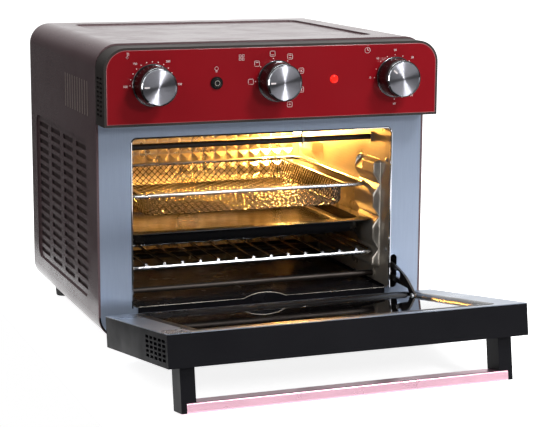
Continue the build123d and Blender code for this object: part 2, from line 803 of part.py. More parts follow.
with BuildPart() as feet:
    for x in (-foot_x, foot_x):
        for y in (front_y + foot_front, back_y - foot_back):
            with Locations((x, y, 0)):
                Cone(foot_tip_radius, foot_radius, foot_height, align=up)
feet.part.label = "feet"
export_step(feet.part, "parts/feet.step")

# Cord gland in the rear panel
with BuildPart() as cord_gland:
    rod_y(gland_x, back_y - sheet - gland_stand, back_y + gland_stand, gland_z, gland_radius)
    rod_y(gland_x, back_y, back_y + gland_stand / 2, gland_z, gland_flange_radius)
    rod_y(gland_x, back_y - sheet - gland_stand, back_y + gland_stand, gland_z, gland_bore, Mode.SUBTRACT)
cord_gland.part.label = "cord_gland"
export_step(cord_gland.part, "parts/cord_gland.step")

# Screws that hold the rear panel
with BuildPart() as rear_screw_set:
    for x, z in rear_screws:
        rod_y(x, back_y - sheet - screw_shank, back_y, z, screw_shank_radius)
        rod_y(x, back_y, back_y + screw_head, z, screw_head_radius)
        slab(x - screw_head_radius, x + screw_head_radius, back_y + screw_head / 2, back_y + screw_head,
             z - sheet / 2, z + sheet / 2, Mode.SUBTRACT)
rear_screw_set.part.label = "rear_screws"
export_step(rear_screw_set.part, "parts/rear_screws.step")

# Hinge brackets: arms on the base plate that reach forward to the door's axis
arm_top = base_top + hinge_arm_height

with BuildPart() as hinge_brackets:
    for x in hinge_places:
        x0 = x - hinge_eye / 2
        x1 = x + hinge_eye / 2
        slab(x0, x1, hinge_y, inside_y + hinge_arm_seat, base_top, arm_top)
        rod_x(x0, x1, hinge_y, hinge_z, hinge_eye_radius)
        rod_x(x0, x1, hinge_y, hinge_z, hinge_pin_radius + shaft_gap, Mode.SUBTRACT)
hinge_brackets.part.label = "hinge_brackets"
export_step(hinge_brackets.part, "parts/hinge_brackets.step")

# Door casing, in the door's own plane: x across, t along the door and s through its thickness
hinge_t = hinge_z - door_bottom
hinge_s = hinge_forward - door_gap
lug_in = hinge_eye / 2 + slide_gap
lug_out = lug_in + hinge_lug
outer_face_s = door_thickness - door_wall
handle_screw_ts = (post_low + post_length / 4, post_low + 3 * post_length / 4)

with BuildPart(door_plane) as door_shell:
    slab(-half_width, half_width, 0, door_length, sheet, door_thickness)
    slab(-half_width + door_wall, half_width - door_wall, door_wall, door_length - door_wall,
         0, outer_face_s, Mode.SUBTRACT)
    slab(-half_width + outer_window_side, half_width - outer_window_side, outer_window_low,
         door_length - outer_window_high, 0, door_thickness, Mode.SUBTRACT)
    for x in hinge_places:
        rod_x(x - lug_in, x + lug_in, hinge_t, hinge_s, hinge_eye_radius + slide_gap, Mode.SUBTRACT)
        for inner, outer in ((x - lug_out, x - lug_in), (x + lug_in, x + lug_out)):
            slab(inner, outer, hinge_t, 0, hinge_s - hinge_eye_radius, hinge_s + hinge_eye_radius)
            rod_x(inner, outer, hinge_t, hinge_s, hinge_eye_radius)
            rod_x(inner, outer, hinge_t, hinge_s, hinge_pin_radius + shaft_gap, Mode.SUBTRACT)
    for x in (-half_width + door_wall / 2, half_width - door_wall / 2):
        with Locations((x, door_length - end_slot_drop, end_slot_centre_s)):
            with GridLocations(0, end_slot_pitch_t, 1, end_slot_columns):
                for row in range(end_slot_rows):
                    with Locations((0, 0, end_slot_pitch_s * (row - (end_slot_rows - 1) / 2))):
                        Box(2 * door_wall, end_slot_length, end_slot_height, mode=Mode.SUBTRACT)
    for side in (-1, 1):
        for t in handle_screw_ts:
            with Locations((side * (half_width - post_side - post_width / 2), t, outer_face_s)):
                Cylinder(handle_screw_radius + seat_gap, door_wall, align=up, mode=Mode.SUBTRACT)
door_shell.part.label = "door_shell"
export_step(door_shell.part, "parts/door_shell.step")

# Inner steel face of the door
window_half = half_width - window_side
window_top = door_length - window_high
window_middle = (window_low + window_top) / 2
window_length = window_top - window_low

with BuildPart() as door_inner_panel:
    with BuildSketch(door_plane):
        with Locations((0, door_length / 2)):
            Rectangle(body_width, door_length)
        with Locations((0, window_middle)):
            RectangleRounded(2 * window_half, window_length, window_corner, mode=Mode.SUBTRACT)
    extrude(amount=sheet)
door_inner_panel.part.label = "door_inner_panel"
export_step(door_inner_panel.part, "parts/door_inner_panel.step")

# Seal around the inner glass, notched where the link's pin is
seal_in = seal_lip - seal_width
glass_edge = seal_in + glass_grip
blade_low = link_x - link_sheet / 2
blade_high = link_x + link_sheet / 2
pin_head_low = blade_low - slide_gap - link_pin_radius
notch_left = pin_head_low - slide_gap
notch_right = window_half + seal_lip


def window_ring(grow, mode=Mode.ADD):
    """Rounded rectangle that follows the door window, larger by grow on every side."""
    width = 2 * (window_half + grow)
    length = window_length + 2 * grow
    with Locations((0, window_middle)):
        RectangleRounded(width, length, window_corner + max(grow, 0), mode=mode)


with BuildPart() as door_seal:
    with BuildSketch(door_plane.offset(sheet)):
        window_ring(seal_lip)
        window_ring(seal_in, Mode.SUBTRACT)
    extrude(amount=seal_depth)
    with BuildSketch(door_plane.offset(-seal_proud)):
        window_ring(-slide_gap)
        window_ring(-slide_gap - seal_ridge, Mode.SUBTRACT)
    extrude(amount=sheet + seal_proud)
    with BuildSketch(door_plane.offset(sheet + glass_cover)):
        window_ring(glass_edge + seat_gap)
    extrude(amount=glass_sheet, mode=Mode.SUBTRACT)
    with BuildSketch(door_plane.offset(-seal_proud)):
        with Locations(((notch_left + notch_right) / 2, notch_length / 2)):
            Rectangle(notch_right - notch_left, notch_length)
    extrude(amount=seal_proud + sheet + seal_depth, mode=Mode.SUBTRACT)
door_seal.part.label = "door_seal"
export_step(door_seal.part, "parts/door_seal.step")

with BuildPart() as door_inner_glass:
    with BuildSketch(door_plane.offset(sheet + glass_cover)):
        window_ring(glass_edge)
    extrude(amount=glass_sheet)
door_inner_glass.part.label = "door_inner_glass"
export_step(door_inner_glass.part, "parts/door_inner_glass.step")

with BuildPart(door_plane) as door_outer_glass:
    slab(-half_width + outer_window_side - outer_glass_lap, half_width - outer_window_side + outer_glass_lap,
         outer_window_low - outer_glass_lap, door_length - outer_window_high + outer_glass_lap,
         outer_face_s - glass_sheet, outer_face_s)
door_outer_glass.part.label = "door_outer_glass"
export_step(door_outer_glass.part, "parts/door_outer_glass.step")

# Handle: two posts on the door's outer face and a flat bar let into their ends
post_out = half_width - post_side
post_in = post_out - post_width
bar_end = post_out - bar_inset
bar_s = handle_s - bar_thickness
handle_screw_length = screw_head + door_wall + handle_screw_depth - slide_gap

with BuildPart(door_plane) as handle_posts:
    for side in (-1, 1):
        slab(*sorted((side * post_in, side * post_out)), post_low, post_high, door_thickness, handle_s)
        slab(*sorted((side * post_in, side * bar_end)), post_low, post_high, bar_s, handle_s, Mode.SUBTRACT)
        for t in handle_screw_ts:
            with Locations((side * (post_in + post_width / 2), t, door_thickness)):
                Cylinder(handle_screw_radius + seat_gap, handle_screw_depth, align=up, mode=Mode.SUBTRACT)
handle_posts.part.label = "handle_posts"
export_step(handle_posts.part, "parts/handle_posts.step")

with BuildPart(door_plane) as handle_bar:
    slab(-bar_end + seat_gap, bar_end - seat_gap, post_low, post_high + bar_proud, bar_s, handle_s)
    fillet(handle_bar.edges().filter_by(Axis.X), 2 * sheet)
handle_bar.part.label = "handle_bar"
export_step(handle_bar.part, "parts/handle_bar.step")

with BuildPart(door_plane) as handle_screws:
    for side in (-1, 1):
        for t in handle_screw_ts:
            with Locations((side * (post_in + post_width / 2), t, outer_face_s - screw_head)):
                Cylinder(handle_screw_head, screw_head, align=up)
                Cylinder(handle_screw_radius, handle_screw_length, align=up)
handle_screws.part.label = "handle_screws"
export_step(handle_screws.part, "parts/handle_screws.step")

with BuildPart(door_plane) as hinge_pins:
    for x in hinge_places:
        rod_x(x - lug_out, x + lug_out, hinge_t, hinge_s, hinge_pin_radius)
hinge_pins.part.label = "hinge_pins"
export_step(hinge_pins.part, "parts/hinge_pins.step")

# Link: a bracket under the door's inner face holds its pin, and the blade runs into the front frame
ear_low = blade_high + slide_gap
ear_high = ear_low + ear_sheet
ear_foot = half_width - 2 * door_wall
ear_t0 = link_pin_t - link_eye_radius
ear_t1 = link_pin_t + link_eye_radius
ear_s0 = sheet + seal_depth + slide_gap
ear_s1 = ear_s0 + ear_sheet

with BuildPart(door_plane) as link_bracket:
    slab(ear_low, ear_high, ear_t0, ear_t1, sheet, ear_s1)
    slab(ear_low, ear_foot, ear_t0, ear_t1, ear_s0, ear_s1)
    slab(notch_right + slide_gap, ear_foot, ear_t0, ear_t1, sheet, ear_s1)
    rod_x(ear_low, ear_high, link_pin_t, link_pin_s, link_pin_radius + shaft_gap, Mode.SUBTRACT)
link_bracket.part.label = "link_bracket"
export_step(link_bracket.part, "parts/link_bracket.step")

with BuildPart(door_plane) as link_pin:
    rod_x(pin_head_low, pin_head_low + link_pin_radius, link_pin_t, link_pin_s, link_pin_head)
    rod_x(pin_head_low, ear_high, link_pin_t, link_pin_s, link_pin_radius)
link_pin.part.label = "link_pin"
export_step(link_pin.part, "parts/link_pin.step")

pin_ahead, pin_z = dropped(link_pin_t, link_pin_s)
blade_origin = (blade_low, front_y + pin_ahead, pin_z)
blade_plane = Plane(origin=blade_origin, x_dir=(0, 1, 0), z_dir=(1, 0, 0))
blade_middle = (link_low_edge + link_high_edge) / 2
eye_corner = link_eye_radius * sin(radians(45))

with BuildPart() as door_link:
    with BuildSketch(blade_plane):
        Circle(link_eye_radius)
        with BuildLine():
            start = (0, link_eye_radius)
            crown = (link_reach, link_high_edge)
            heel = (link_reach, link_low_edge)
            neck = (link_neck, link_low_edge)
            toe = (eye_corner, -eye_corner)
            ThreePointArc(start, link_bow, crown)
            Polyline(crown, heel, neck, toe, (0, 0), start)
        make_face()
        with Locations((link_window_start + link_window_length / 2, blade_middle)):
            SlotOverall(link_window_length, link_window_width, mode=Mode.SUBTRACT)
        with Locations((link_reach - link_hook_back, blade_middle)):
            Circle(link_hook_radius, mode=Mode.SUBTRACT)
        Circle(link_pin_radius + shaft_gap, mode=Mode.SUBTRACT)
    extrude(amount=link_sheet)
door_link.part.label = "door_link"
export_step(door_link.part, "parts/door_link.step")

# Food basket: a wire rim on the top guides and a mesh bowl hung in it
carrier_half = cavity_half - carrier_side_gap
basket_length = cavity_depth - basket_front - basket_back
basket_y = front_y + basket_front + basket_length / 2
basket_half = carrier_half - basket_wire


def seat_height(wire_half, wire):
    """Height above a groove's edge at which a wire just clears the guide's sloping upper side."""
    slope = radians(guide_taper)
    return (wire + slide_gap) / cos(slope) - (cavity_half - wire_half) * tan(slope)


def wire_loop(width, length, radius):
    """Closed wire path, a rectangle with rounded corners about the workplane's origin."""
    x = width / 2
    y = length / 2
    FilletPolyline((-x, -y), (x, -y), (x, y), (-x, y), radius=radius, close=True)


basket_z = groove_floors[2] + seat_height(basket_half, basket_wire)
basket_reach = basket_length / 2 - basket_wire
bowl_half = basket_half - bowl_side
bowl_length = 2 * (basket_reach - basket_wire - slide_gap)
rail_x = bowl_half + basket_rail + slide_gap

with BuildPart() as basket_frame:
    with BuildLine(Plane((0, basket_y, basket_z))) as basket_path:
        wire_loop(2 * basket_half, 2 * basket_reach, basket_corner)
    with BuildSketch(Plane(origin=(0, basket_y - basket_reach, basket_z), z_dir=(1, 0, 0))):
        Circle(basket_wire)
    sweep(path=basket_path.line)
    for x in (-rail_x, rail_x):
        rod_y(x, basket_y - basket_reach, basket_y + basket_reach, basket_z, basket_rail)
basket_frame.part.label = "basket_frame"
export_step(basket_frame.part, "parts/basket_frame.step")

with BuildPart() as basket_mesh:
    with BuildSketch(Plane.XY.offset(basket_z)):
        with Locations((0, basket_y)):
            RectangleRounded(2 * bowl_half, bowl_length, bowl_corner)
    extrude(amount=-bowl_depth)
    fillet(basket_mesh.faces().sort_by(Axis.Z)[0].edges(), bowl_corner / 2)
    offset(amount=-bowl_sheet, openings=basket_mesh.faces().sort_by(Axis.Z)[-1])
basket_mesh.part.label = "basket_mesh"
export_step(basket_mesh.part, "parts/basket_mesh.step")

# Enamelled baking tray on the middle guides
tray_z = groove_floors[1] + slide_gap
tray_length = cavity_depth - tray_front - tray_back
tray_y = front_y + tray_front + tray_length / 2
tray_half = carrier_half - tray_rim
pan_length = tray_length - 2 * tray_rim

with BuildPart() as baking_tray:
    with BuildSketch(Plane.XY.offset(tray_z + tray_sheet)):
        with Locations((0, tray_y)):
            RectangleRounded(2 * tray_half, pan_length, tray_corner)
    extrude(amount=-tray_depth)
    fillet(baking_tray.faces().sort_by(Axis.Z)[0].edges(), tray_corner / 2)
    offset(amount=-tray_sheet, openings=baking_tray.faces().sort_by(Axis.Z)[-1])
    with BuildSketch(Plane.XY.offset(tray_z)):
        with Locations((0, tray_y)):
            RectangleRounded(2 * carrier_half, tray_length, tray_corner)
            RectangleRounded(
                2 * (tray_half - tray_sheet), pan_length - 2 * tray_sheet, tray_corner - tray_sheet,
                mode=Mode.SUBTRACT,
            )
    extrude(amount=tray_sheet)
baking_tray.part.label = "baking_tray"
export_step(baking_tray.part, "parts/baking_tray.step")

# Wire rack on the bottom guides
rack_length = cavity_depth - rack_front - rack_back
rack_y = front_y + rack_front + rack_length / 2
rack_half = carrier_half - rack_wire
rack_z = groove_floors[0] + seat_height(rack_half, rack_wire)
rack_reach = rack_length / 2 - rack_wire
rack_rods = int(2 * (rack_half - rack_corner) / rack_pitch) + 1
rack_rod_z = rack_z + rack_wire + rack_rod - rack_weld

with BuildPart() as wire_rack:
    with BuildLine(Plane((0, rack_y, rack_z))) as rack_path:
        wire_loop(2 * rack_half, 2 * rack_reach, rack_corner)
    with BuildSketch(Plane(origin=(0, rack_y - rack_reach, rack_z), z_dir=(1, 0, 0))):
        Circle(rack_wire)
    sweep(path=rack_path.line)
    rod_x(-rack_half, rack_half, rack_y, rack_z + rack_cross_rise, rack_rod)
    for rod in range(rack_rods):
        rod_x_place = rack_pitch * (rod - (rack_rods - 1) / 2)
        rod_y(rod_x_place, rack_y - rack_reach, rack_y + rack_reach, rack_rod_z, rack_rod)
wire_rack.part.label = "wire_rack"
export_step(wire_rack.part, "parts/wire_rack.step")

# Crumb tray on the cavity floor, with a lip folded down over the front frame and an arched finger tab
crumb_z = cavity_bottom + slide_gap
crumb_top = crumb_z + crumb_sheet
crumb_y0 = front_y - slide_gap - crumb_sheet
crumb_y1 = cavity_back - crumb_back
crumb_half = cavity_half - cavity_corner

with BuildPart() as crumb_tray:
    slab(-crumb_half, crumb_half, crumb_y0, crumb_y1, crumb_z, crumb_z + crumb_rim)
    slab(-crumb_half + crumb_sheet, crumb_half - crumb_sheet, crumb_y0, crumb_y1 - crumb_sheet,
         crumb_top, crumb_z + crumb_rim, Mode.SUBTRACT)
    slab(-crumb_half, crumb_half, crumb_y0, crumb_y0 + crumb_sheet, crumb_z - crumb_lip_drop, crumb_z)
    with BuildSketch(Plane.XZ.offset(-crumb_y0)):
        with BuildLine():
            left = (-crumb_tab_width / 2, crumb_top)
            right = (crumb_tab_width / 2, crumb_top)
            ThreePointArc(left, (0, crumb_top + crumb_tab_height), right)
            Line(right, left)
        make_face()
    extrude(amount=-crumb_sheet)
crumb_tray.part.label = "crumb_tray"
export_step(crumb_tray.part, "parts/crumb_tray.step")
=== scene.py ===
"""Looks of a worktop air fryer oven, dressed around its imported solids.

The casing is powder coated, the control head carries a gloss red panel with printed dials, the cavity is lit
by its own bulb and the glass door stands open. Sizes in the dataclasses are millimetres and angles are
degrees where they don't say otherwise, and Blender works in metres.
"""

import json
import logging
import math
from dataclasses import dataclass
from enum import Enum
from typing import Any, Callable, Iterable, Optional, Sequence

import bmesh
import bpy
from mathutils import Matrix, Vector


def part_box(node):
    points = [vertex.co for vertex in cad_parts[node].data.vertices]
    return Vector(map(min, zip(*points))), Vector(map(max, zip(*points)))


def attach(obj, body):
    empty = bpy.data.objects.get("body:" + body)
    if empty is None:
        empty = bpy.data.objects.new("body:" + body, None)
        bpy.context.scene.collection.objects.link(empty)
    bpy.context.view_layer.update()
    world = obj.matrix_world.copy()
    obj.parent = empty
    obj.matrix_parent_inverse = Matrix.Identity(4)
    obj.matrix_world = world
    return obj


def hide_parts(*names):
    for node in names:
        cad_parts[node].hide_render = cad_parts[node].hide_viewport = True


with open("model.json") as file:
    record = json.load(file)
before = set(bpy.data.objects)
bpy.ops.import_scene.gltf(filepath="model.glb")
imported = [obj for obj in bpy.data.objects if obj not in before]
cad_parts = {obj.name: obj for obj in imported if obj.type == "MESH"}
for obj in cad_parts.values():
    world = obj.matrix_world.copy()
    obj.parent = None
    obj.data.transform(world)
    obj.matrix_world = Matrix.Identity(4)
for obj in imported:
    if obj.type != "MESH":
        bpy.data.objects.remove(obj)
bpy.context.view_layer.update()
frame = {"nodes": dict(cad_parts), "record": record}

MM = 0.001
LOG = logging.getLogger("oven_looks")
ORIGIN = Vector((0, 0, 0))
WHITE = "#ffffff"
# Span of the smears' noise that the roughness follows, and the noise's detail
SMEAR_LOW, SMEAR_HIGH, SMEAR_DETAIL = 0.3, 0.7, 3.0
# Part of a turn that lays a highlight across the lathe's rings
ACROSS_RINGS = 0.25
# Numbers of the colour sockets on Blender's mix node, whose names repeat
MIX_SHARE, MIX_FIRST, MIX_SECOND, MIX_RESULT = 0, 6, 7, 2
# Points this close become one, and faces this flat to each other become one
MERGE_MM = 0.001
NODE_MERGE_MM = 0.002
FLAT_DEGREES = 0.5
Triple = tuple[float, float, float]
Path = Sequence[Vector]
Profile = Sequence[tuple[float, float]]


def linear(code: str) -> tuple[float, float, float, float]:
    """Turn an sRGB hex colour into the linear colour that Blender's sockets take.

    Args:
        code: colour such as "#8e1520".

    Returns:
        Linear red, green, blue and an alpha of 1.
    """
    values = [int(code[i:i + 2], 16) / 255 for i in (1, 3, 5)]
    red, green, blue = [v / 12.92 if v <= 0.04045 else ((v + 0.055) / 1.055) ** 2.4 for v in values]
    return red, green, blue, 1.0


def add_node(
    tree: bpy.types.NodeTree, kind: str, settings: Optional[dict[str, Any]] = None,
    inputs: Optional[dict[Any, Any]] = None,
) -> bpy.types.Node:
    """Add a node to a tree, with its settings, its values and its links.

    Args:
        tree: tree that gets the node.
        kind: Blender's name for the node.
        settings: the node's own properties.
        inputs: a value, or a socket to link from, for each named or numbered input.

    Returns:
        The new node.
    """
    node = tree.nodes.new(kind)
    for name, value in (settings or {}).items():
        setattr(node, name, value)
    for key, value in (inputs or {}).items():
        if isinstance(value, bpy.types.NodeSocket):
            tree.links.new(value, node.inputs[key])
        else:
            node.inputs[key].default_value = value
    return node


def bare_material(name: str) -> bpy.types.Material:
    """Make a material with an empty node tree.

    Args:
        name: name of the material.

    Returns:
        The material.
    """
    material = bpy.data.materials.new(name)
    material.use_nodes = True
    material.node_tree.nodes.clear()
    return material


class Grain(Enum):
    """Texture that the making of a surface leaves on it."""

    SPRAYED = "metal flakes in sprayed paint"
    ROLLED = "streaks along a rolled sheet or a drawn wire"
    MOULDED = "spark eroded skin of a mould"
    POLISHED = "slow ripple of a fired, cast or polished skin"
    SPUN = "rings that a lathe tool leaves"


GRAIN_TEXTURES: dict[Grain, tuple[str, dict[str, float], str]] = {
    Grain.SPRAYED: ("ShaderNodeTexVoronoi", {}, "Color"),
    Grain.ROLLED: ("ShaderNodeTexNoise", {"Detail": 3.0, "Roughness": 0.6}, "Fac"),
    Grain.MOULDED: ("ShaderNodeTexNoise", {"Detail": 2.0, "Roughness": 0.5}, "Fac"),
    Grain.POLISHED: ("ShaderNodeTexNoise", {"Detail": 1.0, "Roughness": 0.4}, "Fac"),
    Grain.SPUN: ("ShaderNodeTexNoise", {"Detail": 1.0, "Roughness": 0.5}, "Fac"),
}


@dataclass(frozen=True)
class Finish:
    """One real finish, with its colours as sRGB hex and its pattern sizes in millimetres."""

    name: str
    colour: str
    shade: str
    grain: Grain
    grain_mm: float
    relief_mm: float
    roughness: float
    swing: float = 0.05
    metallic: float = 0.0
    ior: float = 1.5
    smear_mm: float = 45.0
    stretch: Triple = (1.0, 1.0, 1.0)
    specular: float = 0.5
    transmission: float = 0.0
    anisotropy: float = 0.0
    glow: str = "#000000"
    glow_strength: float = 0.0

    def build(self) -> bpy.types.Material:
        """Build the node material.

        Returns:
            The material, with its grain and its smears on Object coordinates.
        """
        material = bare_material(self.name)
        tree = material.node_tree
        place = add_node(tree, "ShaderNodeTexCoord").outputs["Object"]
        kind, values, output = GRAIN_TEXTURES[self.grain]
        mapped = add_node(tree, "ShaderNodeMapping", inputs={"Vector": place, "Scale": self.stretch})
        sized = {"Vector": mapped.outputs["Vector"], "Scale": 1 / (self.grain_mm * MM)}
        grain = add_node(tree, kind, inputs={**sized, **values}).outputs[output]
        smear = add_node(tree, "ShaderNodeTexNoise", inputs={
            "Vector": place, "Scale": 1 / (self.smear_mm * MM), "Detail": SMEAR_DETAIL,
        })
        colour = add_node(tree, "ShaderNodeMix", {"data_type": "RGBA"}, {
            MIX_SHARE: grain, MIX_FIRST: linear(self.colour), MIX_SECOND: linear(self.shade),
        })
        rough = add_node(tree, "ShaderNodeMapRange", inputs={
            "Value": smear.outputs["Fac"], "From Min": SMEAR_LOW, "From Max": SMEAR_HIGH,
            "To Min": max(self.roughness - self.swing, 0.0), "To Max": self.roughness + self.swing,
        })
        bump = add_node(tree, "ShaderNodeBump", inputs={"Height": grain, "Distance": self.relief_mm * MM})
        shader = add_node(tree, "ShaderNodeBsdfPrincipled", inputs={
            "Base Color": colour.outputs[MIX_RESULT], "Roughness": rough.outputs["Result"],
            "Normal": bump.outputs["Normal"], "Metallic": self.metallic, "IOR": self.ior,
            "Transmission Weight": self.transmission, "Specular IOR Level": self.specular,
            "Anisotropic": self.anisotropy, "Anisotropic Rotation": ACROSS_RINGS,
            "Emission Color": linear(self.glow), "Emission Strength": self.glow_strength,
        })
        if self.grain is Grain.SPUN:
            around = add_node(tree, "ShaderNodeTangent", {"direction_type": "RADIAL", "axis": "Y"})
            tree.links.new(around.outputs["Tangent"], shader.inputs["Tangent"])
        add_node(tree, "ShaderNodeOutputMaterial", inputs={"Surface": shader.outputs["BSDF"]})
        return material


# Powder coat with metal flake: dark and satin, with a faint sparkle, the flakes drawn coarse enough to show
GUNMETAL_POWDER_COAT = Finish(
    "gunmetal_powder_coat", "#6c585b", "#604d50", Grain.SPRAYED, 0.7, 0.006, 0.17, specular=0.2
)
# Pale slit backing: warm and paler than the coat, painted light that stands in for the light seen through
# each slit, so that each slit reads as a thin light line
SLIT_PAINTED_LIGHT = Finish(
    "slit_backing_painted_light", "#d8c4b4", "#c4b1a3", Grain.ROLLED, 1.2, 0.002, 0.45, metallic=0.2
)
# Sprayed ABS: darker than the steel casing and flatter
SPRAYED_ABS = Finish(
    "gunmetal_sprayed_abs", "#3c3735", "#332f2d", Grain.SPRAYED, 0.6, 0.008, 0.5, specular=0.12
)
# Back-printed acrylic: deep colour under a clear, almost mirror-flat front
RED_ACRYLIC = Finish(
    "back_printed_red_acrylic", "#8c121c", "#800e17", Grain.POLISHED, 90.0, 0.0, 0.14, 0.03, ior=1.49,
    specular=0.4,
)
# Panel edge line: pale pink, a painted highlight along the sheet's edge, where its cut edge catches the light
PANEL_EDGE_PAINTED_HIGHLIGHT = Finish(
    "panel_edge_painted_highlight", "#a85459", "#b86f73", Grain.POLISHED, 30.0, 0.0, 0.2, ior=1.49
)
# Screen ink: flat, slightly warm white
WHITE_INK = Finish("white_screen_ink", "#efe6e4", "#e2d8d6", Grain.MOULDED, 0.5, 0.0, 0.6)
# Gloss black ABS: black that shows only what it reflects
GLOSS_BLACK_ABS = Finish("gloss_black_abs", "#0c0b0c", "#100e0f", Grain.POLISHED, 20.0, 0.002, 0.24, 0.03)
# Chromium plate: near mirror, slightly cool
CHROME_PLATE = Finish(
    "chromium_plate", "#c9cbd0", "#bfc1c6", Grain.POLISHED, 12.0, 0.001, 0.08, 0.03, metallic=1.0
)
# Black chromium: the same mirror, smoked
BLACK_CHROME = Finish(
    "black_chromium", "#3d3b3d", "#353335", Grain.POLISHED, 12.0, 0.001, 0.12, 0.03, metallic=1.0
)
# Spun aluminium: lathe rings stretch every highlight into a bow tie across the centre
SPUN_ALUMINIUM = Finish(
    "spun_aluminium", "#a6a6ae", "#9a9aa2", Grain.SPUN, 1.2, 0.0, 0.3, 0.02, metallic=1.0, anisotropy=1.0
)
# Satin stainless sheet: fine upright streaks and a soft blue-grey sheen
SATIN_STAINLESS = Finish(
    "satin_stainless_sheet", "#95a1b5", "#8a96aa", Grain.ROLLED, 1.0, 0.002, 0.33, 0.03, metallic=0.55,
    stretch=(1.0, 1.0, 0.04), smear_mm=70.0,
)
# Stainless door lining: the same sheet brushed across, seen darker because it lies flat
DOOR_STAINLESS = Finish(
    "brushed_stainless_lining", "#a4aebd", "#98a2b1", Grain.ROLLED, 1.0, 0.003, 0.3, 0.05, metallic=0.8,
    stretch=(0.04, 1.0, 1.0), smear_mm=60.0,
)
# Aluminised sheet: brighter and more broken than stainless, with streaks along the cavity
ALUMINISED_SHEET = Finish(
    "aluminised_sheet", "#b5aea4", "#a0998f", Grain.ROLLED, 1.6, 0.006, 0.34, 0.08, metallic=0.55,
    stretch=(1.0, 0.06, 1.0), smear_mm=35.0,
)
# Zinc plate: grey with a cloudy spangle
ZINC_PLATE = Finish(
    "zinc_plate", "#a6a8ab", "#8d9094", Grain.SPRAYED, 4.0, 0.003, 0.42, 0.08, metallic=0.85
)
# Textured black ABS: satin, with a fine grain that kills sharp reflections
TEXTURED_BLACK_ABS = Finish(
    "textured_black_abs", "#0c0c11", "#08080c", Grain.MOULDED, 0.6, 0.012, 0.46, 0.06, specular=0.09
)
# Signal lens: red acrylic lit from behind
LIT_RED_LENS = Finish(
    "lit_red_lens", "#d01818", "#b81010", Grain.POLISHED, 3.0, 0.0, 0.15, glow="#ff2010", glow_strength=1.2
)
# Oxidised heater sheath: dark brown-grey, dry
OXIDISED_SHEATH = Finish(
    "oxidised_steel_sheath", "#3a322d", "#2a2421", Grain.ROLLED, 2.0, 0.01, 0.45, 0.08, metallic=0.6,
    stretch=(0.15, 1.0, 1.0),
)
# Steatite ceramic: dry, and browned by the heat
STEATITE = Finish("browned_steatite", "#54483c", "#463b31", Grain.MOULDED, 0.8, 0.02, 0.7)
# Louvre blades: dark brown and dull, darker than the casing's coat as painted shade in the recess behind each
# slot
LOUVRE_PAINTED_SHADE = Finish(
    "louvre_blade_painted_shade", "#544747", "#483d3d", Grain.SPRAYED, 0.7, 0.01, 0.5, specular=0.1
)
# Oiled spring steel: dark, with a narrow sheen
OILED_STEEL = Finish(
    "oiled_spring_steel", "#4b4643", "#3b3735", Grain.ROLLED, 1.4, 0.004, 0.3, 0.06, metallic=0.9,
    stretch=(1.0, 0.1, 1.0),
)
# Bulb glass: warm white, lit from inside
LIT_BULB = Finish(
    "lit_bulb_glass", "#fff0d0", "#ffe6b8", Grain.POLISHED, 6.0, 0.0, 0.2, glow="#ffe0a0", glow_strength=60.0
)
# Silicone: dark, with a soft broad sheen
SILICONE = Finish("dark_silicone", "#161618", "#111113", Grain.MOULDED, 1.0, 0.006, 0.3, 0.05, ior=1.41)
# Smoked glass: nearly black, and as flat as a mirror
SMOKED_GLASS = Finish(
    "smoked_glass", "#0a0a0c", "#0d0c0d", Grain.POLISHED, 80.0, 0.0, 0.04, 0.02, ior=1.52, transmission=0.25
)
# Rose anodised aluminium: pale pink, with streaks brushed along the bar
ROSE_ANODISED = Finish(
    "rose_anodised_aluminium", "#e8bccb", "#d8a6b8", Grain.ROLLED, 0.8, 0.004, 0.3, 0.05, metallic=0.92,
    stretch=(0.03, 1.0, 1.0),
)
# Chromed wire: bright line highlights along every rod
CHROMED_WIRE = Finish(
    "chromed_steel_wire", "#cccdd0", "#bcbdc1", Grain.ROLLED, 1.5, 0.002, 0.17, 0.05, metallic=1.0
)
# Drawn steel wire: darker than the chrome, so that each thin strand reads as a line against the lit walls
WOVEN_WIRE = Finish(
    "drawn_steel_wire", "#7e7974", "#6f6a66", Grain.ROLLED, 1.5, 0.0, 0.12, 0.04, metallic=1.0
)
# Non-stick film: nearly black from the front, and a mirror of the lit walls at a low angle
NONSTICK_STEEL = Finish(
    "nonstick_steel", "#1d1916", "#16130f", Grain.POLISHED, 14.0, 0.02, 0.2, 0.04, ior=1.6, smear_mm=25.0,
    specular=0.2,
)
# Matt enamel: the dry black outside of the tray, with no lamp in it
MATT_ENAMEL = Finish(
    "matt_black_enamel", "#151417", "#0f0e11", Grain.MOULDED, 0.8, 0.004, 0.6, specular=0.08
)
# Embossed aluminised steel: mirrors the bulb, so that each boss has a light and a dark side
EMBOSSED_SHEET = Finish(
    "embossed_aluminised_sheet", "#f0e9dc", "#e2dbce", Grain.ROLLED, 1.6, 0.004, 0.3, metallic=0.85
)
# Vitreous enamel: black glass fired on steel, dark with a soft slow ripple
BLACK_ENAMEL = Finish(
    "black_vitreous_enamel", "#0e0e10", "#141317", Grain.POLISHED, 14.0, 0.03, 0.24, 0.05, smear_mm=25.0,
    specular=0.15,
)
# Moulded rubber: matt black
RUBBER = Finish("moulded_rubber", "#1c1c1c", "#161616", Grain.MOULDED, 1.0, 0.02, 0.7)

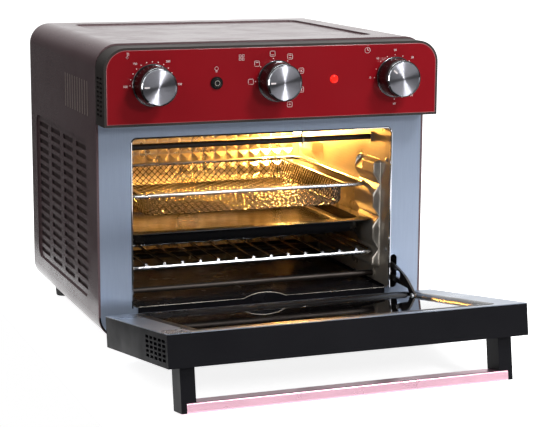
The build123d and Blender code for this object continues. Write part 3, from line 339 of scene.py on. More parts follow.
SLOT_FINISHES: dict[str, Finish] = {
    "gunmetal_paint": GUNMETAL_POWDER_COAT, "bezel_paint": SPRAYED_ABS, "red_gloss": RED_ACRYLIC,
    "satin_steel": SATIN_STAINLESS, "cavity_steel": ALUMINISED_SHEET, "zinc_steel": ZINC_PLATE,
    "black_gloss": GLOSS_BLACK_ABS, "spun_metal": SPUN_ALUMINIUM, "black_plastic": TEXTURED_BLACK_ABS,
    "lamp_red": LIT_RED_LENS, "heater_tube": OXIDISED_SHEATH, "ceramic": STEATITE, "bulb_glass": LIT_BULB,
    "seal_rubber": SILICONE, "dark_glass": SMOKED_GLASS, "handle_metal": ROSE_ANODISED,
    "bright_wire": CHROMED_WIRE, "black_enamel": BLACK_ENAMEL, "foot_rubber": RUBBER,
}
NODE_FINISHES: dict[str, Finish] = {
    "door_link": OILED_STEEL, "door_inner_panel": DOOR_STAINLESS, "heater_collars": ALUMINISED_SHEET,
    "baking_tray": NONSTICK_STEEL, "cavity_rear_wall": EMBOSSED_SHEET,
}


def geometry_tree(
    name: str, values: dict[str, str], shape: Callable[[bpy.types.NodeTree, Any], bpy.types.NodeSocket],
) -> bpy.types.NodeTree:
    """Build a geometry node tree that makes its shape real and gives it one finish.

    Args:
        name: name of the tree.
        values: kind of each named input besides the base geometry and the finish.
        shape: function that adds the tree's own nodes to it, given the inputs' sockets.

    Returns:
        The tree.
    """
    tree = bpy.data.node_groups.new(name, "GeometryNodeTree")
    for label, kind in {"Base": "Geometry", **values, "Finish": "Material"}.items():
        tree.interface.new_socket(label, in_out="INPUT", socket_type=f"NodeSocket{kind}")
    tree.interface.new_socket("Made", in_out="OUTPUT", socket_type="NodeSocketGeometry")
    given = add_node(tree, "NodeGroupInput").outputs
    real = add_node(tree, "GeometryNodeRealizeInstances", inputs={"Geometry": shape(tree, given)})
    dressed = add_node(tree, "GeometryNodeSetMaterial", inputs={
        "Geometry": real.outputs["Geometry"], "Material": given["Finish"],
    })
    add_node(tree, "NodeGroupOutput", inputs={"Made": dressed.outputs["Geometry"]})
    return tree


def swept_wires(tree: bpy.types.NodeTree, given: Any) -> bpy.types.NodeSocket:
    """Draw a round wire along every chain of edges.

    Args:
        tree: tree that gets the nodes.
        given: sockets of its inputs.

    Returns:
        Socket of the wires.
    """
    path = add_node(tree, "GeometryNodeMeshToCurve", inputs={"Mesh": given["Base"]})
    ring = add_node(tree, "GeometryNodeCurvePrimitiveCircle", inputs={
        "Resolution": given["Wire Sides"], "Radius": given["Wire Radius"],
    })
    tube = add_node(tree, "GeometryNodeCurveToMesh", inputs={
        "Curve": path.outputs["Curve"], "Profile Curve": ring.outputs["Curve"], "Fill Caps": True,
    })
    return tube.outputs["Mesh"]


def repeated_parts(tree: bpy.types.NodeTree, given: Any) -> bpy.types.NodeSocket:
    """Set one part at every point, turned as the point's own attribute says.

    Args:
        tree: tree that gets the nodes.
        given: sockets of its inputs.

    Returns:
        Socket of the parts.
    """
    turn = add_node(tree, "GeometryNodeInputNamedAttribute", {"data_type": "FLOAT_VECTOR"}, {"Name": "turn"})
    euler = add_node(tree, "FunctionNodeEulerToRotation", inputs={"Euler": turn.outputs["Attribute"]})
    part = add_node(tree, "GeometryNodeObjectInfo", inputs={"Object": given["Part"]})
    placed = add_node(tree, "GeometryNodeInstanceOnPoints", inputs={
        "Points": given["Base"], "Instance": part.outputs["Geometry"], "Rotation": euler.outputs["Rotation"],
        "Scale": given["Part Scale"],
    })
    return placed.outputs["Instances"]


def mesh_from(build: bmesh.types.BMesh, name: str) -> bpy.types.Mesh:
    """Close a bmesh into a plain mesh with its normals outward.

    Args:
        build: the bmesh, which is freed.
        name: name of the mesh.

    Returns:
        The mesh.
    """
    bmesh.ops.remove_doubles(build, verts=build.verts, dist=MERGE_MM * MM)
    bmesh.ops.recalc_face_normals(build, faces=build.faces)
    mesh = bpy.data.meshes.new(name)
    build.to_mesh(mesh)
    build.free()
    return mesh


def span(build: bmesh.types.BMesh, rings: Iterable[Path], capped: bool = True) -> bmesh.types.BMesh:
    """Span closed rings of points with faces, from the first ring to the last.

    Args:
        build: bmesh that gets the faces.
        rings: points of each ring in metres, as many in every ring.
        capped: whether a face closes each end.

    Returns:
        The same bmesh.
    """
    rows = [[build.verts.new(point) for point in ring] for ring in rings]
    for low, high in zip(rows, rows[1:]):
        for i in range(len(low)):
            build.faces.new((low[i - 1], low[i], high[i], high[i - 1]))
    for end in (rows[0], rows[-1]) if capped else ():
        build.faces.new(end)
    return build


def circle(centre: Vector, radius: float, sides: int) -> list[Vector]:
    """Give the points of an upright circle that faces the front, with its radius in millimetres."""
    angles = [2 * math.pi * side / sides for side in range(sides)]
    return [centre + radius * MM * Vector((math.cos(a), 0, math.sin(a))) for a in angles]


def lathe(profile: Profile, centre: Vector, sides: int, name: str) -> bpy.types.Mesh:
    """Turn a profile about an axis that runs along -Y from a centre.

    Args:
        profile: height along the axis and radius, in millimetres, from one pole to the other or a loop.
        centre: point where the axis starts, in metres.
        sides: number of sides of the turned form.
        name: name of the mesh.

    Returns:
        The turned mesh.
    """
    rings = [circle(centre - Vector((0, height * MM, 0)), radius, sides) for height, radius in profile]
    return mesh_from(span(bmesh.new(), rings, capped=False), name)


def turned_box(size: Triple, turn: Matrix, name: str) -> bpy.types.Mesh:
    """Make a small turned plate about its own origin.

    Args:
        size: its lengths along X, Y and Z in millimetres.
        turn: how it is turned.
        name: name of the mesh.

    Returns:
        The plate's mesh.
    """
    build = bmesh.new()
    scale = Matrix.Diagonal((*(MM * length for length in size), 1.0))
    bmesh.ops.create_cube(build, size=1.0, matrix=turn.to_4x4() @ scale)
    return mesh_from(build, name)


def rounded_loop(low: Vector, high: Vector, radii: Sequence[float], steps: int = 8) -> list[Vector]:
    """Draw a rectangle with round corners in the XZ plane.

    Args:
        low: lower left corner, in metres, whose y the loop takes.
        high: upper right corner, in metres.
        radii: corner radii in millimetres: lower left, lower right, upper right, upper left.
        steps: number of steps in each corner.

    Returns:
        The loop's points, in metres.
    """
    corners = ((low.x, low.z, 1, 1), (high.x, low.z, -1, 1), (high.x, high.z, -1, -1), (low.x, high.z, 1, -1))
    points = []
    for number, ((x, z, side, rise), radius) in enumerate(zip(corners, radii)):
        reach = radius * MM
        middle = Vector((x + side * reach, low.y, z + rise * reach))
        for step in range(steps + 1 if radius else 1):
            angle = math.pi + (number + step / steps) * math.pi / 2
            points.append(middle + reach * Vector((math.cos(angle), 0, math.sin(angle))))
    return points


def lattice(middle: Vector, across: Vector, up: Vector, columns: int, rows: int) -> list[Vector]:
    """Give the points of a lattice about its middle.

    Args:
        middle: its middle, in metres.
        across: step from column to column.
        up: step from row to row.
        columns: number of columns.
        rows: number of rows.

    Returns:
        The points, column by column.
    """
    return [
        middle + across * (column - (columns - 1) / 2) + up * (row - (rows - 1) / 2)
        for column in range(columns) for row in range(rows)
    ]


def eased(value: float) -> float:
    """Ease a value from 0 to 1 without corners."""
    held = min(max(value, 0.0), 1.0)
    return held * held * (3 - 2 * held)


def graded(
    low: float, high: float, marks: Sequence[float], spread: float, fine: float, coarse: float,
) -> list[float]:
    """Divide a length, finely near its marks and coarsely between them.

    Args:
        low: start of the length.
        high: end of the length.
        marks: places that need a fine division.
        spread: how far the fine division reaches from a mark.
        fine: small step.
        coarse: largest step.

    Returns:
        The dividing points with both ends.
    """
    points = [low]
    while high - points[-1] > fine:
        here = points[-1]
        step = fine
        if all(abs(here - mark) > spread for mark in marks):
            gaps = [mark - spread - here for mark in marks if mark - spread > here]
            step = max(fine, min([coarse, *gaps]))
        points.append(here + step)
    points[-1] = high
    return points


def evaluated(thing: bpy.types.Object) -> bpy.types.Mesh:
    """Take the plain mesh of an object with its modifiers applied, and delete the object.

    Args:
        thing: object to evaluate.

    Returns:
        A mesh that depends on nothing else.
    """
    depsgraph = bpy.context.evaluated_depsgraph_get()
    mesh = bpy.data.meshes.new_from_object(thing.evaluated_get(depsgraph), depsgraph=depsgraph)
    bpy.data.objects.remove(thing)
    return mesh


def linked(name: str, data: Any) -> bpy.types.Object:
    """Make an object of some data and link it into the scene.

    Args:
        name: name of the object.
        data: its mesh, lamp, camera or text.

    Returns:
        The object.
    """
    thing = bpy.data.objects.new(name, data)
    bpy.context.scene.collection.objects.link(thing)
    return thing


def middle_of(node: str) -> Vector:
    """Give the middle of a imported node's box at rest."""
    low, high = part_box(node)
    return (low + high) / 2


class Bench:
    """Bench where meshes become finished pieces that ride on the frame's bodies."""

    def __init__(self) -> None:
        """Prepare the two node trees and an empty shelf of materials."""
        self.materials: dict[Finish, bpy.types.Material] = {}
        self.wire_tree = geometry_tree(
            "swept_wire", {"Wire Radius": "Float", "Wire Sides": "Int"}, swept_wires
        )
        self.repeat_tree = geometry_tree(
            "repeated_part", {"Part": "Object", "Part Scale": "Float"}, repeated_parts
        )
        bodies = frame["record"]["behaviour"]["bodies"]
        self.body_of = {node: body for body, nodes in bodies.items() for node in nodes}
        self.slot_of = {sub["node"]: sub["material_slot"] for sub in frame["record"]["subparts"]}

    def material(self, finish: Finish) -> bpy.types.Material:
        """Give the material of a finish, built on first use.

        Args:
            finish: the finish.

        Returns:
            The material.
        """
        if finish not in self.materials:
            self.materials[finish] = finish.build()
        return self.materials[finish]

    def dress_nodes(self) -> None:
        """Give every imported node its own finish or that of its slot."""
        for node, slot in self.slot_of.items():
            data = frame["nodes"][node].data
            data.materials.clear()
            data.materials.append(self.material(NODE_FINISHES.get(node, SLOT_FINISHES[slot])))

    def piece(
        self, name: str, mesh: bpy.types.Mesh, body: str, finish: Finish,
        replaces: Sequence[str] = (), smooth: Optional[float] = 35.0,
    ) -> None:
        """Make a mesh a piece of the object.

        Args:
            name: name of the piece.
            mesh: its mesh, already in place.
            body: body that it rides on.
            finish: its finish.
            replaces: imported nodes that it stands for.
            smooth: faces that meet at fewer degrees shade as one; nothing where the mesh has its own normals.
        """
        mesh.name = name
        mesh.materials.clear()
        mesh.materials.append(self.material(finish))
        mesh.polygons.foreach_set("use_smooth", [True] * len(mesh.polygons))
        if smooth is not None:
            mesh.set_sharp_from_angle(angle=math.radians(smooth))
        thing = linked(name, mesh)
        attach(thing, body)
        if replaces:
            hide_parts(*replaces)
        LOG.info("%s on %s, %d faces", name, body, len(mesh.polygons))

    def wires(
        self, paths: Sequence[Path], radius: float, sides: int = 6, closed: bool = False,
    ) -> bpy.types.Mesh:
        """Draw round wires along paths.

        Args:
            paths: points of each wire, in metres.
            radius: wire radius in millimetres.
            sides: number of sides of the wire.
            closed: whether each path is a loop.

        Returns:
            One mesh of all the wires.
        """
        points = [point for path in paths for point in path]
        edges = []
        first = 0
        for path in paths:
            last = first + len(path) - 1
            edges += [(i, i + 1) for i in range(first, last)]
            edges += [(last, first)] if closed else []
            first = last + 1
        mesh = bpy.data.meshes.new("paths")
        mesh.from_pydata(points, edges, [])
        values = {"Wire Radius": radius * MM, "Wire Sides": sides}
        return self.grown(linked("paths", mesh), self.wire_tree, values)

    def repeats(
        self, part: bpy.types.Mesh, places: Path, turns: Optional[Sequence[Triple]] = None,
    ) -> bpy.types.Mesh:
        """Set a part at many places.

        Args:
            part: mesh of the part, about its own origin.
            places: points in metres.
            turns: Euler angles of the part at each point, where it is turned.

        Returns:
            One mesh of all the parts.
        """
        mesh = bpy.data.meshes.new("places")
        mesh.from_pydata(list(places), [], [])
        turn = mesh.attributes.new("turn", "FLOAT_VECTOR", "POINT")
        if turns:
            turn.data.foreach_set("vector", [angle for angles in turns for angle in angles])
        pattern = linked("part", part)
        grown = self.grown(linked("places", mesh), self.repeat_tree, {"Part": pattern, "Part Scale": 1.0})
        bpy.data.objects.remove(pattern)
        return grown

    @staticmethod
    def grown(thing: bpy.types.Object, tree: bpy.types.NodeTree, values: dict[str, Any]) -> bpy.types.Mesh:
        """Run a node tree on an object and keep only the mesh that it makes.

        Args:
            thing: object that holds the tree's input, which is deleted.
            tree: geometry node tree.
            values: the tree's inputs by name.

        Returns:
            The plain mesh.
        """
        modifier = thing.modifiers.new("grown", "NODES")
        modifier.node_group = tree
        for socket in tree.interface.items_tree:
            if socket.in_out == "INPUT" and socket.name in values:
                modifier[socket.identifier] = values[socket.name]
        return evaluated(thing)

    def soften(self, node: str, width: float, segments: int = 2, keep: float = 35.0) -> None:
        """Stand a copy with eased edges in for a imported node.

        Args:
            node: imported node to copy.
            width: width of the easing in millimetres.
            segments: steps across each eased edge.
            keep: edges that turn by fewer degrees stay as they are.
        """
        build = bmesh.new()
        build.from_mesh(frame["nodes"][node].data)
        bmesh.ops.remove_doubles(build, verts=build.verts, dist=NODE_MERGE_MM * MM)
        flat = math.radians(FLAT_DEGREES)
        bmesh.ops.dissolve_limit(build, angle_limit=flat, verts=build.verts, edges=build.edges)
        mesh = bpy.data.meshes.new(node)
        build.to_mesh(mesh)
        build.free()
        if "custom_normal" in mesh.attributes:
            mesh.attributes.remove(mesh.attributes["custom_normal"])
        mesh.polygons.foreach_set("use_smooth", [True] * len(mesh.polygons))
        copy = linked("copy", mesh)
        bevel = copy.modifiers.new("eased", "BEVEL")
        bevel.harden_normals = True
        bevel.width = width * MM
        bevel.segments = segments
        bevel.limit_method = "ANGLE"
        bevel.angle_limit = math.radians(keep)
        slot = self.slot_of[node]
        body = self.body_of[node]
        self.piece(f"{node}_eased", evaluated(copy), body, SLOT_FINISHES[slot], (node,), smooth=None)


class Shows(Enum):
    """Where a lamp shows itself."""

    EVERYWHERE = "in everything"
    MIRRORS_ONLY = "in reflections, without lighting anything else"
    NOWHERE = "in nothing but the light that it throws"


@dataclass(frozen=True)
class Softbox:
    """Soft rectangular lamp, with its place and size in metres and its power in watts."""

    name: str
    place: Triple
    size: tuple[float, float]
    power: float
    aim: Triple = (0.0, 0.05, 0.18)
    colour: str = WHITE
    shows: Shows = Shows.EVERYWHERE

    def hang(self) -> None:
        """Hang the lamp so that it faces what it aims at."""
        data = bpy.data.lights.new(self.name, "AREA")
        data.shape = "RECTANGLE"
        data.size, data.size_y = self.size
        data.energy = self.power
        data.color = linear(self.colour)[:3]
        lamp = linked(self.name, data)
        facing = Vector(self.aim) - Vector(self.place)
        turn = facing.to_track_quat("-Z", "Y").to_matrix().to_4x4()
        lamp.matrix_world = Matrix.Translation(self.place) @ turn
        lamp.visible_diffuse = self.shows is not Shows.MIRRORS_ONLY
        lamp.visible_camera = self.shows is not Shows.NOWHERE
        lamp.visible_glossy = self.shows is not Shows.NOWHERE


@dataclass
class Studio:
    """Camera at the photograph's angle, pale floor, soft lamps and a white surround.

    The floor's edges are metres. It ends close to the object's left, and the surround is dim behind the
    camera and low on the left, so that the dark sides don't mirror white.
    """

    image_width: float = 547.0
    focal_pixels: float = 1655.6
    sensor: float = 36.0
    yaw: float = 20.684
    pitch: float = -10.582
    roll: float = 0.328
    eye: Triple = (-625.14, -1714.895, 479.28)
    floor_left: float = -0.25
    floor_right: float = 8.0
    floor_front: float = -0.9
    floor_back: float = 14.0
    floor_colour: str = "#efeff0"
    floor_roughness: float = 0.9
    floor_specular: float = 0.1
    floor_lift: float = 0.84
    ambient: float = 0.75
    front_level: float = 0.12
    left_level: float = 0.02
    overhead_level: float = 0.8
    behind_band: tuple[float, float] = (-0.3, 0.5)
    overhead_band: tuple[float, float] = (0.3, 0.9)
    beside_band: tuple[float, float] = (-0.25, 0.3)
    above_band: tuple[float, float] = (0.1, 0.6)
    lamps: tuple[Softbox, ...] = (
        Softbox("key_lamp", (0.8, -1.4, 1.75), (0.5, 0.5), 27.0),
        Softbox("front_lamp", (0.62, -1.7, 0.8), (0.28, 0.28), 10.0),
        Softbox("left_lamp", (-1.6, -1.0, 1.1), (1.2, 1.2), 7.0),
        Softbox("side_card", (-1.35, -0.65, 0.3), (0.6, 0.6), 10.0, shows=Shows.MIRRORS_ONLY),
        Softbox("right_lamp", (1.7, -1.2, 1.0), (1.0, 1.4), 2.0),
        Softbox("top_lamp", (0.1, 0.4, 1.8), (1.6, 1.0), 14.0),
    )

    def camera(self) -> None:
        """Set the camera where the photograph was taken from."""
        yaw, pitch, roll = (math.radians(a) for a in (self.yaw, self.pitch, self.roll))
        ahead = Vector((math.sin(yaw) * math.cos(pitch), math.cos(yaw) * math.cos(pitch), math.sin(pitch)))
        right = Vector((math.cos(yaw), -math.sin(yaw), 0))
        up = right.cross(ahead)
        level_right = right * math.cos(roll) + up * math.sin(roll)
        level_up = up * math.cos(roll) - right * math.sin(roll)
        data = bpy.data.cameras.new("camera")
        data.sensor_fit = "HORIZONTAL"
        data.sensor_width = self.sensor
        data.lens = self.sensor * self.focal_pixels / self.image_width
        camera = linked("camera", data)
        turn = Matrix((level_right, level_up, -ahead)).transposed()
        camera.matrix_world = Matrix.Translation(MM * Vector(self.eye)) @ turn.to_4x4()
        bpy.context.scene.camera = camera

    @staticmethod
    def seen(tree: bpy.types.NodeTree) -> bpy.types.NodeSocket:
        """Make a value that is 1 for rays that look at a surface, directly or in a mirror or glass.

        Args:
            tree: tree that gets the nodes.

        Returns:
            The value's socket.
        """
        rays = add_node(tree, "ShaderNodeLightPath").outputs
        seen = rays["Is Camera Ray"]
        for kind in ("Is Glossy Ray", "Is Transmission Ray"):
            either = add_node(tree, "ShaderNodeMath", {"operation": "MAXIMUM"}, {0: seen, 1: rays[kind]})
            seen = either.outputs["Value"]
        return seen

    def floor(self) -> None:
        """Lay the pale floor, which keeps the object's shadow and is clear from below."""
        left, right, front, back = self.floor_left, self.floor_right, self.floor_front, self.floor_back
        corners = ((left, front, 0), (right, front, 0), (right, back, 0), (left, back, 0))
        mesh = bpy.data.meshes.new("studio_floor")
        mesh.from_pydata(corners, [], [(0, 1, 2, 3)])
        material = bare_material("matt_white_paper")
        tree = material.node_tree
        underside = add_node(tree, "ShaderNodeNewGeometry").outputs["Backfacing"]
        above = add_node(tree, "ShaderNodeMath", {"operation": "SUBTRACT"}, {0: 1.0, 1: underside})
        lift = add_node(tree, "ShaderNodeMath", {"operation": "MULTIPLY"}, {
            0: self.seen(tree), 1: self.floor_lift,
        })
        shader = add_node(tree, "ShaderNodeBsdfPrincipled", inputs={
            "Base Color": linear(self.floor_colour), "Roughness": self.floor_roughness,
            "Specular IOR Level": self.floor_specular, "Emission Color": linear(WHITE),
            "Emission Strength": lift.outputs["Value"], "Alpha": above.outputs["Value"],
        })
        add_node(tree, "ShaderNodeOutputMaterial", inputs={"Surface": shader.outputs["BSDF"]})
        mesh.materials.append(material)
        linked("studio_floor", mesh)

    def world(self) -> None:
        """Surround the object with a studio that the camera sees as white."""
        world = bpy.data.worlds.new("white_surround")
        world.use_nodes = True
        tree = world.node_tree
        axes = add_node(tree, "ShaderNodeSeparateXYZ", inputs={
            "Vector": add_node(tree, "ShaderNodeTexCoord").outputs["Generated"],
        })
        ramps = (
            ("Y", self.behind_band, self.front_level, 1.0),
            ("Z", self.overhead_band, 0.0, self.overhead_level),
            ("X", self.beside_band, self.left_level, 1.0),
            ("Z", self.above_band, 0.0, 1.0),
        )
        levels = []
        for axis, (start, end), low, high in ramps:
            ramp = add_node(tree, "ShaderNodeMapRange", inputs={
                "Value": axes.outputs[axis], "From Min": start, "From Max": end,
                "To Min": low, "To Max": high,
            })
            levels.append(ramp.outputs["Result"])
        behind, overhead, beside, above = levels
        dimmed = add_node(tree, "ShaderNodeMapRange", inputs={
            "Value": self.seen(tree), "To Min": self.ambient, "To Max": 1.0,
        })
        screened = add_node(tree, "ShaderNodeMath", {"operation": "MAXIMUM"}, {0: beside, 1: above})
        camera_ray = add_node(tree, "ShaderNodeLightPath").outputs["Is Camera Ray"]
        steps = (
            ("MAXIMUM", overhead), ("MULTIPLY", screened.outputs["Value"]),
            ("MULTIPLY", dimmed.outputs["Result"]), ("MAXIMUM", camera_ray),
        )
        shown = behind
        for operation, value in steps:
            mixed = add_node(tree, "ShaderNodeMath", {"operation": operation}, {0: shown, 1: value})
            shown = mixed.outputs["Value"]
        shade = tree.nodes["Background"]
        shade.inputs["Color"].default_value = linear(WHITE)
        tree.links.new(shown, shade.inputs["Strength"])
        bpy.context.scene.world = world

    def build(self) -> None:
        """Set up the camera, the floor, the surround and the lamps."""
        bpy.context.scene.view_settings.view_transform = "Standard"
        self.camera()
        self.floor()
        self.world()
        for lamp in self.lamps:
            lamp.hang()


@dataclass
class Casing:
    """Powder coated casing with louvred sides, fine slits and feet.

    A foot's tip is measured up from the floor, and its groove down from the foot's top.
    """

    louvre_columns: int = 4
    louvre_rows: int = 16
    louvre_pitch_y: float = 60.0
    louvre_pitch_z: float = 10.3
    blade_size: Triple = (0.7, 44.6, 8.4)
    blade_tilt: float = 7.0
    blade_behind: float = 1.1
    slit_count: int = 10
    slit_front: float = 36.0
    slit_pitch: float = 10.9
    slit_middle: float = 61.0
    slit_size: Triple = (0.3, 1.3, 37.6)
    slit_behind: float = 0.17
    foot_sides: int = 40
    foot_radius: float = 11.0
    foot_tip: Profile = ((0.0, 0.0), (0.0, 7.2), (0.5, 8.4), (1.6, 8.8))
    foot_groove: Profile = ((4.6, 10.0), (4.4, 9.5), (3.6, 9.5), (3.4, 10.4), (0.0, 11.0), (0.0, 0.0))

    def louvres(self, bench: Bench) -> None:
        """Set a slanted blade behind every slot of both side grilles, darker than the coat as painted shade.

        Args:
            bench: bench that finishes the pieces.
        """
        for node, side in (("left_side_grille", -1), ("right_side_grille", 1)):
            low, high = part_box(node)
            middle = (low + high) / 2
            middle.x = (low.x if side > 0 else high.x) - side * self.blade_behind * MM
            across, up = Vector((0, self.louvre_pitch_y * MM, 0)), Vector((0, 0, self.louvre_pitch_z * MM))
            places = lattice(middle, across, up, self.louvre_columns, self.louvre_rows)
            turn = Matrix.Rotation(math.radians(side * self.blade_tilt), 3, "Y")
            mesh = bench.repeats(turned_box(self.blade_size, turn, "louvre_blade"), places)
            # The blades' dark colour is painted shade in the slots
            bench.piece(f"{node}_blades", mesh, "housing", LOUVRE_PAINTED_SHADE)

    def slits(self, bench: Bench) -> None:
        """Back every slit of the shell's sides with a pale strip, whose colour is painted light seen through
        the slit.

        Args:
            bench: bench that finishes the pieces.
        """
        low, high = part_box("outer_shell")
        strip = turned_box(self.slit_size, Matrix.Identity(3), "slit_strip")
        places = [
            Vector((
                face + inward * self.slit_behind * MM,
                low.y + MM * (self.slit_front + self.slit_pitch * number),
                high.z - MM * self.slit_middle,
            ))
            for face, inward in ((low.x, 1), (high.x, -1)) for number in range(self.slit_count)
        ]
        mesh = bench.repeats(strip, places)
        # The strips' pale colour is painted light, where light shows through the slits
        bench.piece("side_slit_strips", mesh, "housing", SLIT_PAINTED_LIGHT)

    def feet(self, bench: Bench) -> None:
        """Turn one grooved rubber foot and set it under each corner.

        Args:
            bench: bench that finishes the pieces.
        """
        low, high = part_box("feet")
        height = (high.z - low.z) / MM
        profile = [*self.foot_tip, *((height - drop, radius) for drop, radius in self.foot_groove)]
        foot = lathe(profile, ORIGIN, self.foot_sides, "foot")
        foot.transform(Matrix.Rotation(math.radians(-90), 4, "X"))
        inset = self.foot_radius * MM
        places = [
            Vector((x, y, low.z))
            for x in (low.x + inset, high.x - inset) for y in (low.y + inset, high.y - inset)
        ]
        bench.piece("rubber_feet", bench.repeats(foot, places), "housing", RUBBER, ("feet",))

    def build(self, bench: Bench) -> None:
        """Build the louvre blades, the slits' strips and the feet.

        Args:
            bench: bench that finishes the pieces.
        """
        self.louvres(bench)
        self.slits(bench)
        self.feet(bench)


Stroke = tuple[float, float, float, float]
HEAT_ABOVE: Stroke = (-0.5, 0.45, 0.5, 0.45)
HEAT_BELOW: Stroke = (-0.5, -0.45, 0.5, -0.45)


class Mode(Enum):
    """Cooking modes of the function dial, with the strokes inside each square, in halves of its size."""

    OFF = ()
    TOP_HEAT = (HEAT_ABOVE,)
    BOTTOM_HEAT = (HEAT_BELOW,)
    BOTH_HEATS = (HEAT_ABOVE, HEAT_BELOW)
    FAN = ((-0.35, -0.35, 0.35, 0.35), (-0.35, 0.35, 0.35, -0.35))
    FAN_TOP = (HEAT_ABOVE, (-0.35, -0.5, 0.35, 0.2), (-0.35, 0.2, 0.35, -0.5))
    ROAST = ((-0.4, 0.0, 0.4, 0.0), (0.0, -0.28, 0.0, 0.28))


@dataclass(frozen=True)
class Sign:
    """Plain sign beside a control: its offset in millimetres, and its lines in halves of its size."""

    node: str
    offset: tuple[float, float]
    rounds: tuple[Triple, ...] = ()
    tiles: tuple[tuple[float, float], ...] = ()
    strokes: tuple[Stroke, ...] = ()


THERMOMETER = Sign(
    "temperature_knob", (-27.0, 31.0), rounds=((0.0, -0.6, 0.36),),
    strokes=((0.0, -0.2, 0.0, 1.0), (0.3, 0.2, 0.6, 0.2), (0.3, 0.55, 0.6, 0.55), (0.3, 0.9, 0.6, 0.9)),
)
FOUR_SQUARES = Sign(
    "function_knob", (-40.0, 26.0), tiles=((-0.55, -0.55), (-0.55, 0.55), (0.55, -0.55), (0.55, 0.55))
)
CLOCK = Sign(
    "timer_knob", (-33.0, 30.0), rounds=((0.0, 0.0, 1.0),),
    strokes=((0.0, 0.0, 0.0, 0.6), (0.0, 0.0, 0.45, 0.0)),
)
BULB = Sign(
    "light_button", (0.0, 14.2), rounds=((0.0, 0.3, 0.62),),
    strokes=((-0.28, -0.55, 0.28, -0.55), (-0.2, -0.85, 0.2, -0.85)),
)


